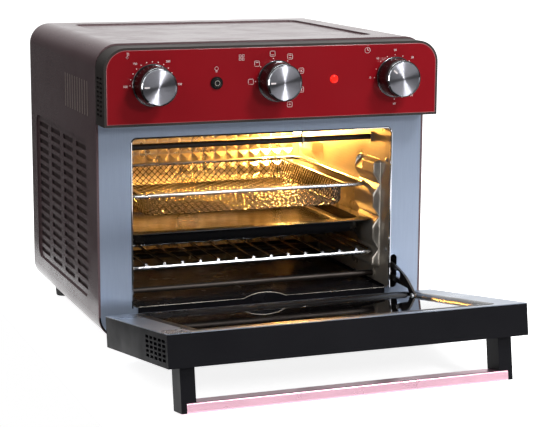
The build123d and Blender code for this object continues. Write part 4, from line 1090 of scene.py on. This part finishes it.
@dataclass
class DialPrint:
    """Ticks, plain numbers, square symbols and signs printed around the controls.

    A tile's half is a share of half of its sign.
    """

    ink: float = 0.06
    stroke: float = 0.4
    shortest: float = 0.04
    dot_radius: float = 24.3
    dot_size: float = 0.55
    dot_sides: int = 10
    number_radius: float = 29.4
    number_size: float = 3.22
    symbol_radius: float = 29.6
    symbol_size: float = 5.6
    symbol_corner: float = 1.0
    symbol_steps: int = 3
    sign_size: float = 6.2
    round_sides: int = 16
    tile_half: float = 0.36
    tile_corner: float = 0.2
    tile_steps: int = 2
    nine_o_clock: float = 180.0
    ticks: int = 13
    temperature_step: float = 15.0
    temperatures: tuple[tuple[int, float], ...] = ((100, -2.0), (150, 50.0), (200, 125.0), (230, 180.0))
    function_step: float = 40.0
    timer_step: float = 22.5
    tick_minutes: int = 5
    signs: tuple[Sign, ...] = (THERMOMETER, FOUR_SQUARES, CLOCK, BULB)

    def __post_init__(self) -> None:
        """Start with no ink on the panel."""
        self.print = bmesh.new()
        self.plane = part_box("control_panel")[0].y

    def at(self, centre: Vector, radius: float, clockwise: float) -> Vector:
        """Give a point on the panel around a knob.

        Args:
            centre: the knob's middle.
            radius: distance from it in millimetres.
            clockwise: degrees clockwise from nine o'clock.

        Returns:
            The point, on the panel's front.
        """
        angle = math.radians(self.nine_o_clock - clockwise)
        outward = Vector((math.cos(angle), 0, math.sin(angle)))
        return Vector((centre.x, self.plane, centre.z)) + radius * MM * outward

    def patch(self, corners: Path) -> None:
        """Print a flat patch of ink between corners on the panel."""
        span(self.print, (corners, [corner - Vector((0, self.ink * MM, 0)) for corner in corners]))

    def line(self, start: Vector, end: Vector) -> None:
        """Print a stroke between two points of the panel.

        Args:
            start: where it starts.
            end: where it ends.
        """
        along = (end - start).normalized() * self.stroke * MM / 2
        aside = Vector((-along.z, 0, along.x))
        self.patch([start - along - aside, end + along - aside, end + along + aside, start - along + aside])

    def outline(self, loop: Path) -> None:
        """Print a thin closed line along a loop of the panel.

        Args:
            loop: the loop's points, in metres.
        """
        for start, end in zip(loop, [*loop[1:], loop[0]]):
            if (end - start).length > self.shortest * MM:
                self.line(start, end)

    def square(self, middle: Vector, half: float, corner: float, steps: int) -> None:
        """Print a square with round corners.

        Args:
            middle: its middle, on the panel.
            half: half of its size in metres.
            corner: its corner radius in millimetres.
            steps: number of steps in each corner.
        """
        reach = Vector((half, 0, half))
        self.outline(rounded_loop(middle - reach, middle + reach, (corner,) * 4, steps))

    def lines(self, strokes: Sequence[Stroke], middle: Vector, half: float) -> None:
        """Print strokes about a middle, given in halves of a size."""
        for x, z, end_x, end_z in strokes:
            self.line(middle + half * Vector((x, 0, z)), middle + half * Vector((end_x, 0, end_z)))

    def number(self, value: int, place: Vector) -> None:
        """Print a plain number about a point.

        Args:
            value: the number.
            place: its middle.
        """
        text = bpy.data.curves.new("number", "FONT")
        text.body = str(value)
        text.align_x = "CENTER"
        text.align_y = "CENTER"
        text.size = self.number_size * MM
        text.extrude = self.ink * MM / 2
        mesh = evaluated(linked("number", text))
        upright = Matrix.Rotation(math.radians(90), 4, "X")
        mesh.transform(Matrix.Translation(place - Vector((0, self.ink * MM / 2, 0))) @ upright)
        self.print.from_mesh(mesh)

    def sign(self, sign: Sign) -> None:
        """Print one sign beside its control.

        Args:
            sign: the sign.
        """
        control = middle_of(sign.node)
        place = Vector((control.x + MM * sign.offset[0], self.plane, control.z + MM * sign.offset[1]))
        half = self.sign_size * MM / 2
        for x, z, radius in sign.rounds:
            reach = radius * half / MM
            self.outline(circle(place + half * Vector((x, 0, z)), reach, self.round_sides))
        for x, z in sign.tiles:
            middle = place + half * Vector((x, 0, z))
            self.square(middle, half * self.tile_half, self.tile_corner, self.tile_steps)
        self.lines(sign.strokes, place, half)

    def dots(self, node: str, count: int, step: float) -> None:
        """Print ticks around a knob, clockwise from nine o'clock.

        Args:
            node: the knob's node.
            count: number of ticks.
            step: degrees from one to the next.
        """
        for tick in range(count):
            place = self.at(middle_of(node), self.dot_radius, step * tick)
            self.patch(circle(place, self.dot_size, self.dot_sides))

    def temperature_dial(self) -> None:
        """Print ticks over a half turn, with four numbers."""
        self.dots("temperature_knob", self.ticks, self.temperature_step)
        for value, clockwise in self.temperatures:
            self.number(value, self.at(middle_of("temperature_knob"), self.number_radius, clockwise))

    def function_dial(self) -> None:
        """Print the cooking modes and a tick for each."""
        self.dots("function_knob", len(Mode), self.function_step)
        half = self.symbol_size * MM / 2
        for number, mode in enumerate(Mode):
            place = self.at(middle_of("function_knob"), self.symbol_radius, self.function_step * number)
            self.square(place, half, self.symbol_corner, self.symbol_steps)
            self.lines(mode.value, place, half)

    def timer_dial(self) -> None:
        """Print ticks over three quarters of a turn, and a number at every second one."""
        self.dots("timer_knob", self.ticks, self.timer_step)
        for tick in range(0, self.ticks, 2):
            place = self.at(middle_of("timer_knob"), self.number_radius, self.timer_step * tick)
            self.number(self.tick_minutes * tick, place)

    def build(self, bench: Bench) -> None:
        """Print the three dials and the signs as one piece on the panel.

        Args:
            bench: bench that finishes the pieces.
        """
        self.temperature_dial()
        self.function_dial()
        self.timer_dial()
        for sign in self.signs:
            self.sign(sign)
        bench.piece("dial_print", mesh_from(self.print, "dial_print"), "housing", WHITE_INK)


@dataclass
class ControlHead:
    """Bezel, red panel, three knobs with spun faces, and the light button.

    A knob's profiles give the height from its back, and the radius. The button's lines give the inset, the
    depth and the wire's radius.
    """

    sides: int = 96
    grip_profile: Profile = (
        (0.0, 0.0), (0.0, 21.7), (0.35, 22.2), (1.7, 22.2), (2.0, 21.3), (2.9, 21.15), (12.0, 20.4),
        (21.8, 19.85), (22.4, 19.45), (23.1, 19.45), (23.3, 19.7), (23.75, 19.65), (24.0, 19.35),
        (24.0, 18.95), (23.1, 18.95), (23.1, 0.0),
    )
    rim_profile: Profile = (
        (23.5, 17.7), (23.5, 18.9), (23.8, 18.9), (24.6, 18.15), (24.6, 18.0), (24.05, 17.7), (23.5, 17.7),
    )
    face_profile: Profile = ((23.15, 0.0), (23.15, 17.7), (24.04, 17.7), (24.1, 0.0))
    grip_lines: Profile = ((1.7, 22.0), (22.75, 19.4))
    line_radius: float = 0.35
    pointer_size: Triple = (5.6, 0.12, 1.5)
    pointer_radius: float = 13.0
    pointer_height: float = 24.12
    pointer_turns: tuple[tuple[str, float], ...] = (
        ("temperature", 180.0), ("function", 180.0), ("timer", 142.0),
    )
    bezel_ease: float = 1.4
    panel_ease: float = 0.35
    edge_inset: Triple = (0.15, 0.1, 0.15)
    edge_corner: float = 21.2
    edge_steps: int = 12
    edge_radius: float = 0.32
    button_sides: int = 48
    cap_line: Triple = (2.0, 0.25, 0.35)
    ring_line: Triple = (0.5, 0.2, 0.4)

    def knob(self, bench: Bench, kind: str, pointer_turn: float) -> None:
        """Turn one knob: black grip, chrome lines, chrome rim, spun face and white pointer.

        Args:
            bench: bench that finishes the pieces.
            kind: which dial the knob belongs to.
            pointer_turn: direction of its pointer at rest, in degrees from three o'clock.
        """
        node = f"{kind}_knob"
        back = middle_of(node)
        back.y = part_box(node)[1].y
        grip, rim, face = (
            lathe(profile, back, self.sides, node)
            for profile in (self.grip_profile, self.rim_profile, self.face_profile)
        )
        rings = [
            circle(back - Vector((0, height * MM, 0)), radius, self.sides)
            for height, radius in self.grip_lines
        ]
        pointer = turned_box(self.pointer_size, Matrix.Identity(3), "pointer")
        turn = Matrix.Rotation(math.radians(-pointer_turn), 4, "Y")
        reach = Matrix.Translation(MM * Vector((self.pointer_radius, -self.pointer_height, 0)))
        pointer.transform(Matrix.Translation(back) @ turn @ reach)
        lines = bench.wires(rings, self.line_radius, closed=True)
        bench.piece(f"{kind}_grip", grip, node, GLOSS_BLACK_ABS, (node,))
        bench.piece(f"{kind}_grip_lines", lines, node, CHROME_PLATE)
        bench.piece(f"{kind}_rim", rim, node, CHROME_PLATE)
        bench.piece(f"{kind}_spun_face", face, node, SPUN_ALUMINIUM, (f"{node}_face",))
        bench.piece(f"{kind}_pointer", pointer, node, WHITE_INK)

    def panel(self, bench: Bench) -> None:
        """Ease the bezel and the panel, and draw a pale line along the panel's edge as a painted highlight.

        Args:
            bench: bench that finishes the pieces.
        """
        bench.soften("control_bezel", self.bezel_ease, segments=3)
        bench.soften("control_panel", self.panel_ease)
        low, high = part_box("control_panel")
        inset = MM * Vector(self.edge_inset)
        corners = (0.0, 0.0, self.edge_corner, self.edge_corner)
        edge = bench.wires(
            [rounded_loop(low + inset, high - inset, corners, self.edge_steps)], self.edge_radius, closed=True
        )
        # The pale line is a painted highlight on the panel's edge
        bench.piece("panel_edge_line", edge, "housing", PANEL_EDGE_PAINTED_HIGHLIGHT)

    def button(self, bench: Bench) -> None:
        """Draw a pale line on the light button's cap and a dark one on its ring.

        Args:
            bench: bench that finishes the pieces.
        """
        middle = middle_of("light_button")
        for name, node, (inset, depth, radius), finish in (
            ("light_button_line", "light_button", self.cap_line, ALUMINISED_SHEET),
            ("button_ring_line", "button_bezel", self.ring_line, BLACK_CHROME),
        ):
            low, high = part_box(node)
            centre = Vector((middle.x, low.y + depth * MM, middle.z))
            ring = circle(centre, (high.x - middle.x) / MM - inset, self.button_sides)
            line = bench.wires([ring], radius, closed=True)
            bench.piece(name, line, bench.body_of[node], finish)

    def build(self, bench: Bench) -> None:
        """Build the panel, the knobs and the button.

        Args:
            bench: bench that finishes the pieces.
        """
        self.panel(bench)
        for kind, pointer_turn in self.pointer_turns:
            self.knob(bench, kind, pointer_turn)
        self.button(bench)


@dataclass
class Cavity:
    """Lit cavity: pressed sides, embossed rear wall, bright mouth, screws, heater clip and the bulb.

    A screw has its depth and its height. The clip's stem and tail are in shares of its hook's radius. The
    notch has its front, back, bottom and top. A glow has its height in metres and its power in watts, and the
    glows' places and size are metres too.
    """

    boss_pitch: float = 15.2
    boss_base: float = 14.4
    boss_top: float = 3.0
    boss_height: float = 4.2
    mouth_corner: float = 6.0
    bead_radius: float = 1.1
    bead_sides: int = 8
    flange_depth: float = 16.0
    flange_sheet: float = 0.6
    flange_step: float = 0.45
    screws: tuple[tuple[float, float], ...] = ((10.5, 194.6), (8.7, 91.8), (34.3, 67.8))
    screw_profile: Profile = (
        (0.0, 0.0), (0.0, 2.4), (0.7, 2.4), (1.2, 1.68), (1.35, 0.8), (0.9, 0.7), (0.9, 0.0),
    )
    screw_sides: int = 16
    clip_x: float = 66.0
    clip_wire: float = 0.9
    clip_stem: float = 1.6
    clip_tail: tuple[float, float] = (-0.6, -1.9)
    hook_step: float = 20.0
    hook_steps: int = 16
    light_power: float = 3.3
    light_colour: str = "#ffb552"
    lamp_gap: float = 12.0
    lamp_radius: float = 8.0
    glow_size: tuple[float, float] = (0.2, 0.012)
    glows: tuple[tuple[float, float], ...] = ((0.097, 0.08), (0.127, 0.65))
    glow_x: float = -0.04
    glow_y: float = 0.21
    bulb_tilt: float = 22.0
    bulb_sides: int = 32
    bulb_profile: Profile = (
        (-2.0, 0.0), (-2.0, 5.4), (3.0, 5.4), (5.5, 6.4), (8.5, 7.6), (12.0, 8.0), (15.5, 7.3), (18.2, 5.2),
        (19.7, 2.6), (20.2, 0.0),
    )
    pad_levels: tuple[tuple[float, float], ...] = (
        (65.0, 82.5), (92.5, 120.5), (130.5, 158.5), (168.5, 192.5),
    )
    pad_starts: tuple[float, ...] = (27.0, 208.0)
    pad_length: float = 62.0
    pad_corner: float = 5.0
    pad_slope: float = 4.2
    pad_smooth: float = 60.0
    notch: tuple[float, float, float, float] = (41.0, 56.0, 183.0, 199.0)
    grid_fine: float = 0.7
    grid_coarse: float = 12.0

    def inside(self, y: float, z: float, low: tuple[float, float], high: tuple[float, float]) -> float:
        """Measure how far a point lies inside a rectangle with round corners.

        Args:
            y: place along the wall in millimetres.
            z: height in millimetres.
            low: lower corner of the rectangle.
            high: upper corner of the rectangle.

        Returns:
            The distance to its edge, below zero outside.
        """
        over_y = abs(y - (low[0] + high[0]) / 2) - (high[0] - low[0]) / 2 + self.pad_corner
        over_z = abs(z - (low[1] + high[1]) / 2) - (high[1] - low[1]) / 2 + self.pad_corner
        outer = math.hypot(max(over_y, 0.0), max(over_z, 0.0))
        return self.pad_corner - outer - min(max(over_y, over_z), 0.0)

    def raised(self, y: float, z: float) -> float:
        """Give the share of its full height that a side wall's pressing has at a point.

        Args:
            y: distance behind the front frame in millimetres.
            z: height in millimetres.

        Returns:
            A share from 0 to 1.
        """
        depth = -self.pad_slope
        for start in self.pad_starts:
            for low, high in self.pad_levels:
                depth = max(depth, self.inside(y, z, (start, low), (start + self.pad_length, high)))
            front, back, bottom, top = self.notch
            depth = min(depth, -self.inside(y, z, (start + front, bottom), (start + back, top)))
        return eased(depth / self.pad_slope)

    def side_walls(self, bench: Bench) -> None:
        """Press the rack guides into both side walls as soft pads.

        Args:
            bench: bench that finishes the pieces.
        """
        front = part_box("front_frame")[0].y
        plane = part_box("cavity_floor")[1].x
        starts = [start + at for start in self.pad_starts for at in (0.0, self.pad_length, *self.notch[:2])]
        levels = [level for pad in self.pad_levels for level in pad] + [self.notch[2]]
        steps = (self.pad_slope + self.grid_fine, self.grid_fine, self.grid_coarse)
        for node, side in (("cavity_left_wall", -1), ("cavity_right_wall", 1)):
            low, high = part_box(node)
            reach = plane - (low.x if side > 0 else -high.x)
            outer = max(abs(low.x), abs(high.x))
            lines_y = graded((low.y - front) / MM, (high.y - front) / MM, starts, *steps)
            lines_z = graded(low.z / MM, high.z / MM, levels, *steps)
            grid = [
                [
                    Vector((side * (plane - reach * self.raised(y, z)), front + y * MM, z * MM))
                    for y in lines_y
                ]
                for z in lines_z
            ]
            build = bmesh.new()
            rows = [[build.verts.new(point) for point in row] for row in grid]
            for lower, upper in zip(rows, rows[1:]):
                for i in range(1, len(lower)):
                    build.faces.new((lower[i - 1], lower[i], upper[i], upper[i - 1]))
            rim = [*grid[0][:-1], *(row[-1] for row in grid[:-1])]
            rim += [*grid[-1][:0:-1], *(row[0] for row in grid[:0:-1])]
            back = [Vector((side * outer, point.y, point.z)) for point in rim]
            span(build, (rim, back), capped=False)
            build.faces.new([build.verts.new(point) for point in back])
            sheet = mesh_from(build, "pressed_sheet")
            name = f"{node}_pressed"
            bench.piece(name, sheet, "housing", ALUMINISED_SHEET, (node,), self.pad_smooth)

    def rear_wall(self, bench: Bench) -> None:
        """Raise rows of square bosses on the rear wall.

        Args:
            bench: bench that finishes the pieces.
        """
        rings = [
            [MM * Vector((x * half, -height, z * half)) for x, z in ((-1, -1), (1, -1), (1, 1), (-1, 1))]
            for half, height in ((self.boss_base / 2, 0.0), (self.boss_top / 2, self.boss_height))
        ]
        boss = mesh_from(span(bmesh.new(), rings), "boss")
        low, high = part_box("cavity_rear_wall")
        pitch = self.boss_pitch * MM
        columns, rows = int((high.x - low.x) / pitch) - 1, int((high.z - low.z) / pitch)
        middle = (low + high) / 2
        middle.y = low.y
        places = lattice(middle, Vector((pitch, 0, 0)), Vector((0, 0, pitch)), columns, rows)
        bosses = bench.repeats(boss, places)
        bench.piece("rear_wall_bosses", bosses, "housing", EMBOSSED_SHEET)

    def mouth(self, bench: Bench) -> None:
        """Roll a bright bead round the mouth's sides and top, and fold a narrow flange behind it.

        Args:
            bench: bench that finishes the pieces.
        """
        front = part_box("front_frame")[0].y
        floor_low, floor_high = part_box("cavity_floor")
        low = Vector((floor_low.x, front + self.flange_step * MM, floor_high.z))
        high = Vector((floor_high.x, front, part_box("cavity_ceiling")[0].z))
        radii = (0.0, 0.0, self.mouth_corner, self.mouth_corner)
        sheet = self.flange_sheet * MM
        loops = (
            rounded_loop(low, high, radii),
            rounded_loop(low + Vector((sheet, 0, 0)), high - Vector((sheet, 0, sheet)), radii),
        )
        outside, inside = ([*loop[1:], loop[0]] for loop in loops)
        bead = bench.wires([outside], self.bead_radius, self.bead_sides)
        bench.piece("mouth_bead", bead, "housing", CHROME_PLATE)
        reach = Vector((0, self.flange_depth * MM, 0))
        rings = [(outer, outer + reach, inner + reach, inner) for outer, inner in zip(outside, inside)]
        flange = mesh_from(span(bmesh.new(), rings), "flange")
        bench.piece("mouth_flange", flange, "housing", ALUMINISED_SHEET)
        places = []
        turns = []
        for side, face in ((-1, low.x), (1, high.x)):
            for depth, level in self.screws:
                places.append(Vector((face - side * sheet, front + depth * MM, MM * level)))
                turns.append((0.0, 0.0, math.radians(-90.0 * side)))
        screws = bench.repeats(lathe(self.screw_profile, ORIGIN, self.screw_sides, "screw"), places, turns)
        bench.piece("mouth_screws", screws, "housing", ZINC_PLATE)

    def heater_clip(self, bench: Bench) -> None:
        """Hang a wire clip from the ceiling round the front heater.

        Args:
            bench: bench that finishes the pieces.
        """
        low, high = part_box("top_heaters")
        tube = (high.z - low.z) / 2
        centre = Vector((self.clip_x * MM, low.y + tube, (low.z + high.z) / 2))
        hold = tube + self.clip_wire * MM
        ceiling = Vector((centre.x, centre.y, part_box("cavity_ceiling")[0].z))
        angles = [math.radians(self.hook_step * step) for step in range(1, self.hook_steps + 1)]
        hook = [centre + hold * Vector((0, math.sin(a), math.cos(a))) for a in angles]
        tail = centre + hold * Vector((0, *self.clip_tail))
        path = [ceiling, centre + hold * Vector((0, 0, self.clip_stem)), *hook, tail]
        bench.piece("heater_clip", bench.wires([path], self.clip_wire), "housing", ZINC_PLATE)

    def bulb(self, bench: Bench) -> None:
        """Blow the bulb's round glass, tilted down from its socket, and light the cavity from it.

        Args:
            bench: bench that finishes the pieces.
        """
        root = middle_of("lamp_bulb")
        place = Vector((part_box("lamp_bulb")[0].x - self.lamp_gap * MM, root.y, root.z))
        root.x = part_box("cavity_floor")[1].x
        tilt = math.radians(self.bulb_tilt)
        axis = Vector((-math.cos(tilt), 0, -math.sin(tilt)))
        mesh = lathe(self.bulb_profile, ORIGIN, self.bulb_sides, "bulb")
        turn = Vector((0, -1, 0)).rotation_difference(axis).to_matrix().to_4x4()
        mesh.transform(Matrix.Translation(root) @ turn)
        bench.piece("lit_bulb", mesh, "housing", LIT_BULB, ("lamp_bulb",))
        data = bpy.data.lights.new("cavity_lamp", "POINT")
        data.energy = self.light_power
        data.color = linear(self.light_colour)[:3]
        data.shadow_soft_size = self.lamp_radius * MM
        linked("cavity_lamp", data).location = place

    def bounce(self) -> None:
        """Throw a little warm light at the lower rear wall, as the lit walls above it do."""
        for level, power in self.glows:
            place = (self.glow_x, self.glow_y, level)
            aim = (self.glow_x, self.glow_y + 1.0, level)
            lamp = Softbox(
                "cavity_bounce", place, self.glow_size, power, aim, self.light_colour, Shows.NOWHERE
            )
            lamp.hang()

    def build(self, bench: Bench) -> None:
        """Build the walls' details and light the bulb.

        Args:
            bench: bench that finishes the pieces.
        """
        self.side_walls(bench)
        self.rear_wall(bench)
        self.mouth(bench)
        self.heater_clip(bench)
        self.bulb(bench)
        self.bounce()


@dataclass
class Carriers:
    """Woven basket, a painted highlight along the crumb tray's edge and the baking tray's matt front."""

    wire_step: float = 7.6
    wire_radius: float = 0.55
    crimp: float = 0.22
    fold_radius: float = 7.0
    plan_corner: float = 14.0
    sample: float = 2.2
    sides: int = 6
    wire_smooth: float = 80.0
    tab_width: float = 50.0
    tab_rise: float = 5.6
    tab_steps: int = 10
    edge_radius: float = 0.4
    edge_sides: int = 8
    front_half: float = 124.0
    front_inset: float = 12.0
    front_bend: float = 7.0
    front_sheet: float = 1.0
    front_skin: float = 0.25
    bend_steps: int = 6

    def pressed(
        self, u: float, v: float, half_x: float, half_y: float, depth: float,
    ) -> Optional[tuple[Vector, Vector]]:
        """Press one point of the flat mesh into the bowl.

        Args:
            u: distance across from the middle of the flat mesh.
            v: distance along from the middle of the flat mesh.
            half_x: half of the bowl's width.
            half_y: half of the bowl's length.
            depth: depth of the bowl.

        Returns:
            The point from the middle of the bowl's floor and its inward normal, in millimetres, or nothing
            where the flat mesh is trimmed.
        """
        corner = self.plan_corner - self.fold_radius
        core_x, core_y = half_x - self.plan_corner, half_y - self.plan_corner
        over_x, over_y = max(abs(u) - core_x, 0.0), max(abs(v) - core_y, 0.0)
        beyond = math.hypot(over_x, over_y) - corner
        if beyond <= 0:
            return Vector((u, v, 0.0)), Vector((0, 0, 1))
        out = Vector((math.copysign(over_x, u), math.copysign(over_y, v), 0)).normalized()
        core = Vector((math.copysign(min(abs(u), core_x), u), math.copysign(min(abs(v), core_y), v), 0))
        fold = min(beyond / self.fold_radius, math.pi / 2)
        rise = self.fold_radius * (1 - math.cos(fold)) + max(beyond - self.fold_radius * math.pi / 2, 0.0)
        if rise > depth:
            return None
        point = core + out * (corner + self.fold_radius * math.sin(fold)) + Vector((0, 0, rise))
        return point, Vector((0, 0, math.cos(fold))) - out * math.sin(fold)

    def weave(self) -> list[list[Vector]]:
        """Lay two families of diagonal wires over the bowl, slightly crimped and joined where they cross.

        Returns:
            The wires' points in metres.
        """
        low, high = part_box("basket_mesh")
        middle = Vector(((low.x + high.x) / 2, (low.y + high.y) / 2, low.z + 2 * self.wire_radius * MM))
        half_x, half_y = (length / 2 / MM - self.wire_radius for length in (high.x - low.x, high.y - low.y))
        depth = (high.z - middle.z) / MM
        reach = half_x + half_y + 2 * depth
        count, steps = int(reach / self.wire_step), int(reach / self.sample)
        wires = []
        for slope in (1, -1):
            for line in range(-count, count + 1):
                wire: list[Vector] = []
                for step in range(-steps, steps + 1):
                    along = step * self.sample / math.sqrt(2)
                    u = line * self.wire_step / 2 + along
                    v = slope * (line * self.wire_step / 2 - along)
                    pressed = self.pressed(u, v, half_x, half_y, depth)
                    if pressed:
                        point, inward = pressed
                        lift = slope * self.crimp * math.cos(2 * math.pi * along / self.wire_step)
                        wire.append(middle + MM * (point + inward * lift))
                    if wire and (not pressed or step == steps):
                        if len(wire) > 2:
                            wires.append(wire)
                        wire = []
        return wires

    def tray_edge(self, bench: Bench) -> None:
        """Roll a pale line along the crumb tray's front, over its arched tab, as a painted highlight on its
        edge.

        Args:
            bench: bench that finishes the pieces.
        """
        low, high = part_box("crumb_tray")
        half = self.tab_width / 2
        radius = (half * half + self.tab_rise * self.tab_rise) / (2 * self.tab_rise)
        crest = high.z / MM - self.edge_radius / 2
        across = [half * step / self.tab_steps for step in range(-self.tab_steps, self.tab_steps + 1)]
        arch = [(x, crest - radius + math.sqrt(radius * radius - x * x)) for x in across]
        base = crest - self.tab_rise
        line = [(low.x / MM, base), *arch, (high.x / MM, base)]
        path = [MM * Vector((x, low.y / MM + self.edge_radius, z)) for x, z in line]
        edge = bench.wires([path], self.edge_radius, self.edge_sides)
        # The pale aluminised wire is a painted highlight on the dark tray's edge
        bench.piece("crumb_tray_edge", edge, "crumb_tray", ALUMINISED_SHEET)

    def tray_front(self, bench: Bench) -> None:
        """Skin the baking tray's front wall, down round its bend, with the matt enamel of its outside.

        Args:
            bench: bench that finishes the pieces.
        """
        low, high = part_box("baking_tray")
        face, bottom, bend = low.y / MM + self.front_inset, low.z / MM, self.front_bend
        angles = [math.pi / 2 * step / self.bend_steps for step in range(self.bend_steps + 1)]
        walls = [(face, high.z / MM - self.front_sheet, 0.0)]
        walls += [(face + bend * (1 - math.cos(a)), bottom + bend * (1 - math.sin(a)), a) for a in angles]
        half = self.front_half
        rings = []
        for y, z, angle in walls:
            out_y, out_z = y - self.front_skin * math.cos(angle), z - self.front_skin * math.sin(angle)
            ends = ((-half, out_y, out_z), (half, out_y, out_z), (half, y, z), (-half, y, z))
            rings.append([MM * Vector(end) for end in ends])
        skin = mesh_from(span(bmesh.new(), rings), "front_skin")
        bench.piece("baking_tray_front", skin, "baking_tray", MATT_ENAMEL)

    def build(self, bench: Bench) -> None:
        """Roll the painted highlight along the crumb tray's edge, skin the baking tray's front and weave the
        basket's mesh.

        Args:
            bench: bench that finishes the pieces.
        """
        self.tray_edge(bench)
        self.tray_front(bench)
        mesh = bench.wires(self.weave(), self.wire_radius, self.sides)
        bench.piece(
            "woven_basket", mesh, "basket", WOVEN_WIRE, ("basket_mesh",), self.wire_smooth
        )


@dataclass
class Door:
    """Open glass door with its eased casing, handle posts and round seal, and the eased crumb tray behind it.

    The corner is the y and z of the lining's rear edge, and the window is measured along the tilted lining.
    """

    shell_ease: float = 1.6
    post_ease: float = 1.2
    tray_ease: float = 0.2
    tilt: float = 9.0
    corner: tuple[float, float] = (-61.3, 50.12)
    window_half: float = 162.0
    window_low: float = 6.0
    window_high: float = 213.0
    window_corner: float = 8.0
    corner_steps: int = 6
    notch_end: float = 45.0
    notch_gap: float = 0.3
    seal_smooth: float = 50.0
    seal_profile: Profile = (
        (0.3, 3.1), (0.3, 0.0), (1.2, -0.42), (3.2, -0.6), (6.0, -0.55), (8.6, -0.1), (10.8, 0.7),
        (12.6, 1.8), (13.9, 3.1),
    )

    def seal_path(self, inset: float, depth: float, notch: float) -> list[Vector]:
        """Follow the window's edge from the notch round to the notch.

        Args:
            inset: distance inside the window's edge in millimetres.
            depth: depth below the lining's face in millimetres.
            notch: x of the notch's left end in metres.

        Returns:
            The path's points in metres.
        """
        low = MM * Vector((-self.window_half + inset, 0, self.window_low + inset))
        high = MM * Vector((self.window_half - inset, 0, self.window_high - inset))
        radius = max(self.window_corner - inset, self.notch_gap)
        loop = rounded_loop(low, high, (radius, 0.0, radius, radius), self.corner_steps)
        split = self.corner_steps + 1
        start = Vector((high.x, 0, self.notch_end * MM))
        flat = [start, *loop[split + 1:], *loop[:split], Vector((notch, 0, low.z))]
        tilt = math.radians(self.tilt)
        along = Vector((0, -math.cos(tilt), math.sin(tilt)))
        below = Vector((0, -math.sin(tilt), -math.cos(tilt))) * depth * MM
        corner = MM * Vector((0, *self.corner))
        return [corner + Vector((point.x, 0, 0)) + along * point.z + below for point in flat]

    def seal(self, bench: Bench) -> None:
        """Lay a round rubber seal along the window's edge, open at the link's pin.

        Args:
            bench: bench that finishes the pieces.
        """
        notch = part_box("link_pin")[0].x - self.notch_gap * MM
        paths = [self.seal_path(inset, depth, notch) for inset, depth in self.seal_profile]
        mesh = mesh_from(span(bmesh.new(), zip(*paths)), "seal")
        bench.piece(
            "round_door_seal", mesh, "door", SILICONE, ("door_seal",), self.seal_smooth
        )

    def build(self, bench: Bench) -> None:
        """Ease the door's and the crumb tray's edges, and lay the door's seal.

        Args:
            bench: bench that finishes the pieces.
        """
        bench.soften("door_shell", self.shell_ease, segments=3)
        bench.soften("handle_posts", self.post_ease, segments=3)
        bench.soften("crumb_tray", self.tray_ease)
        self.seal(bench)


def main() -> None:
    """Build the studio and dress the oven, one sub-assembly after another."""
    logging.basicConfig(level=logging.INFO, format="%(name)s: %(message)s")
    Studio().build()
    bench = Bench()
    bench.dress_nodes()
    for assembly in (Casing(), ControlHead(), DialPrint(), Cavity(), Carriers(), Door()):
        assembly.build(bench)


if __name__ == "__main__":
    main()
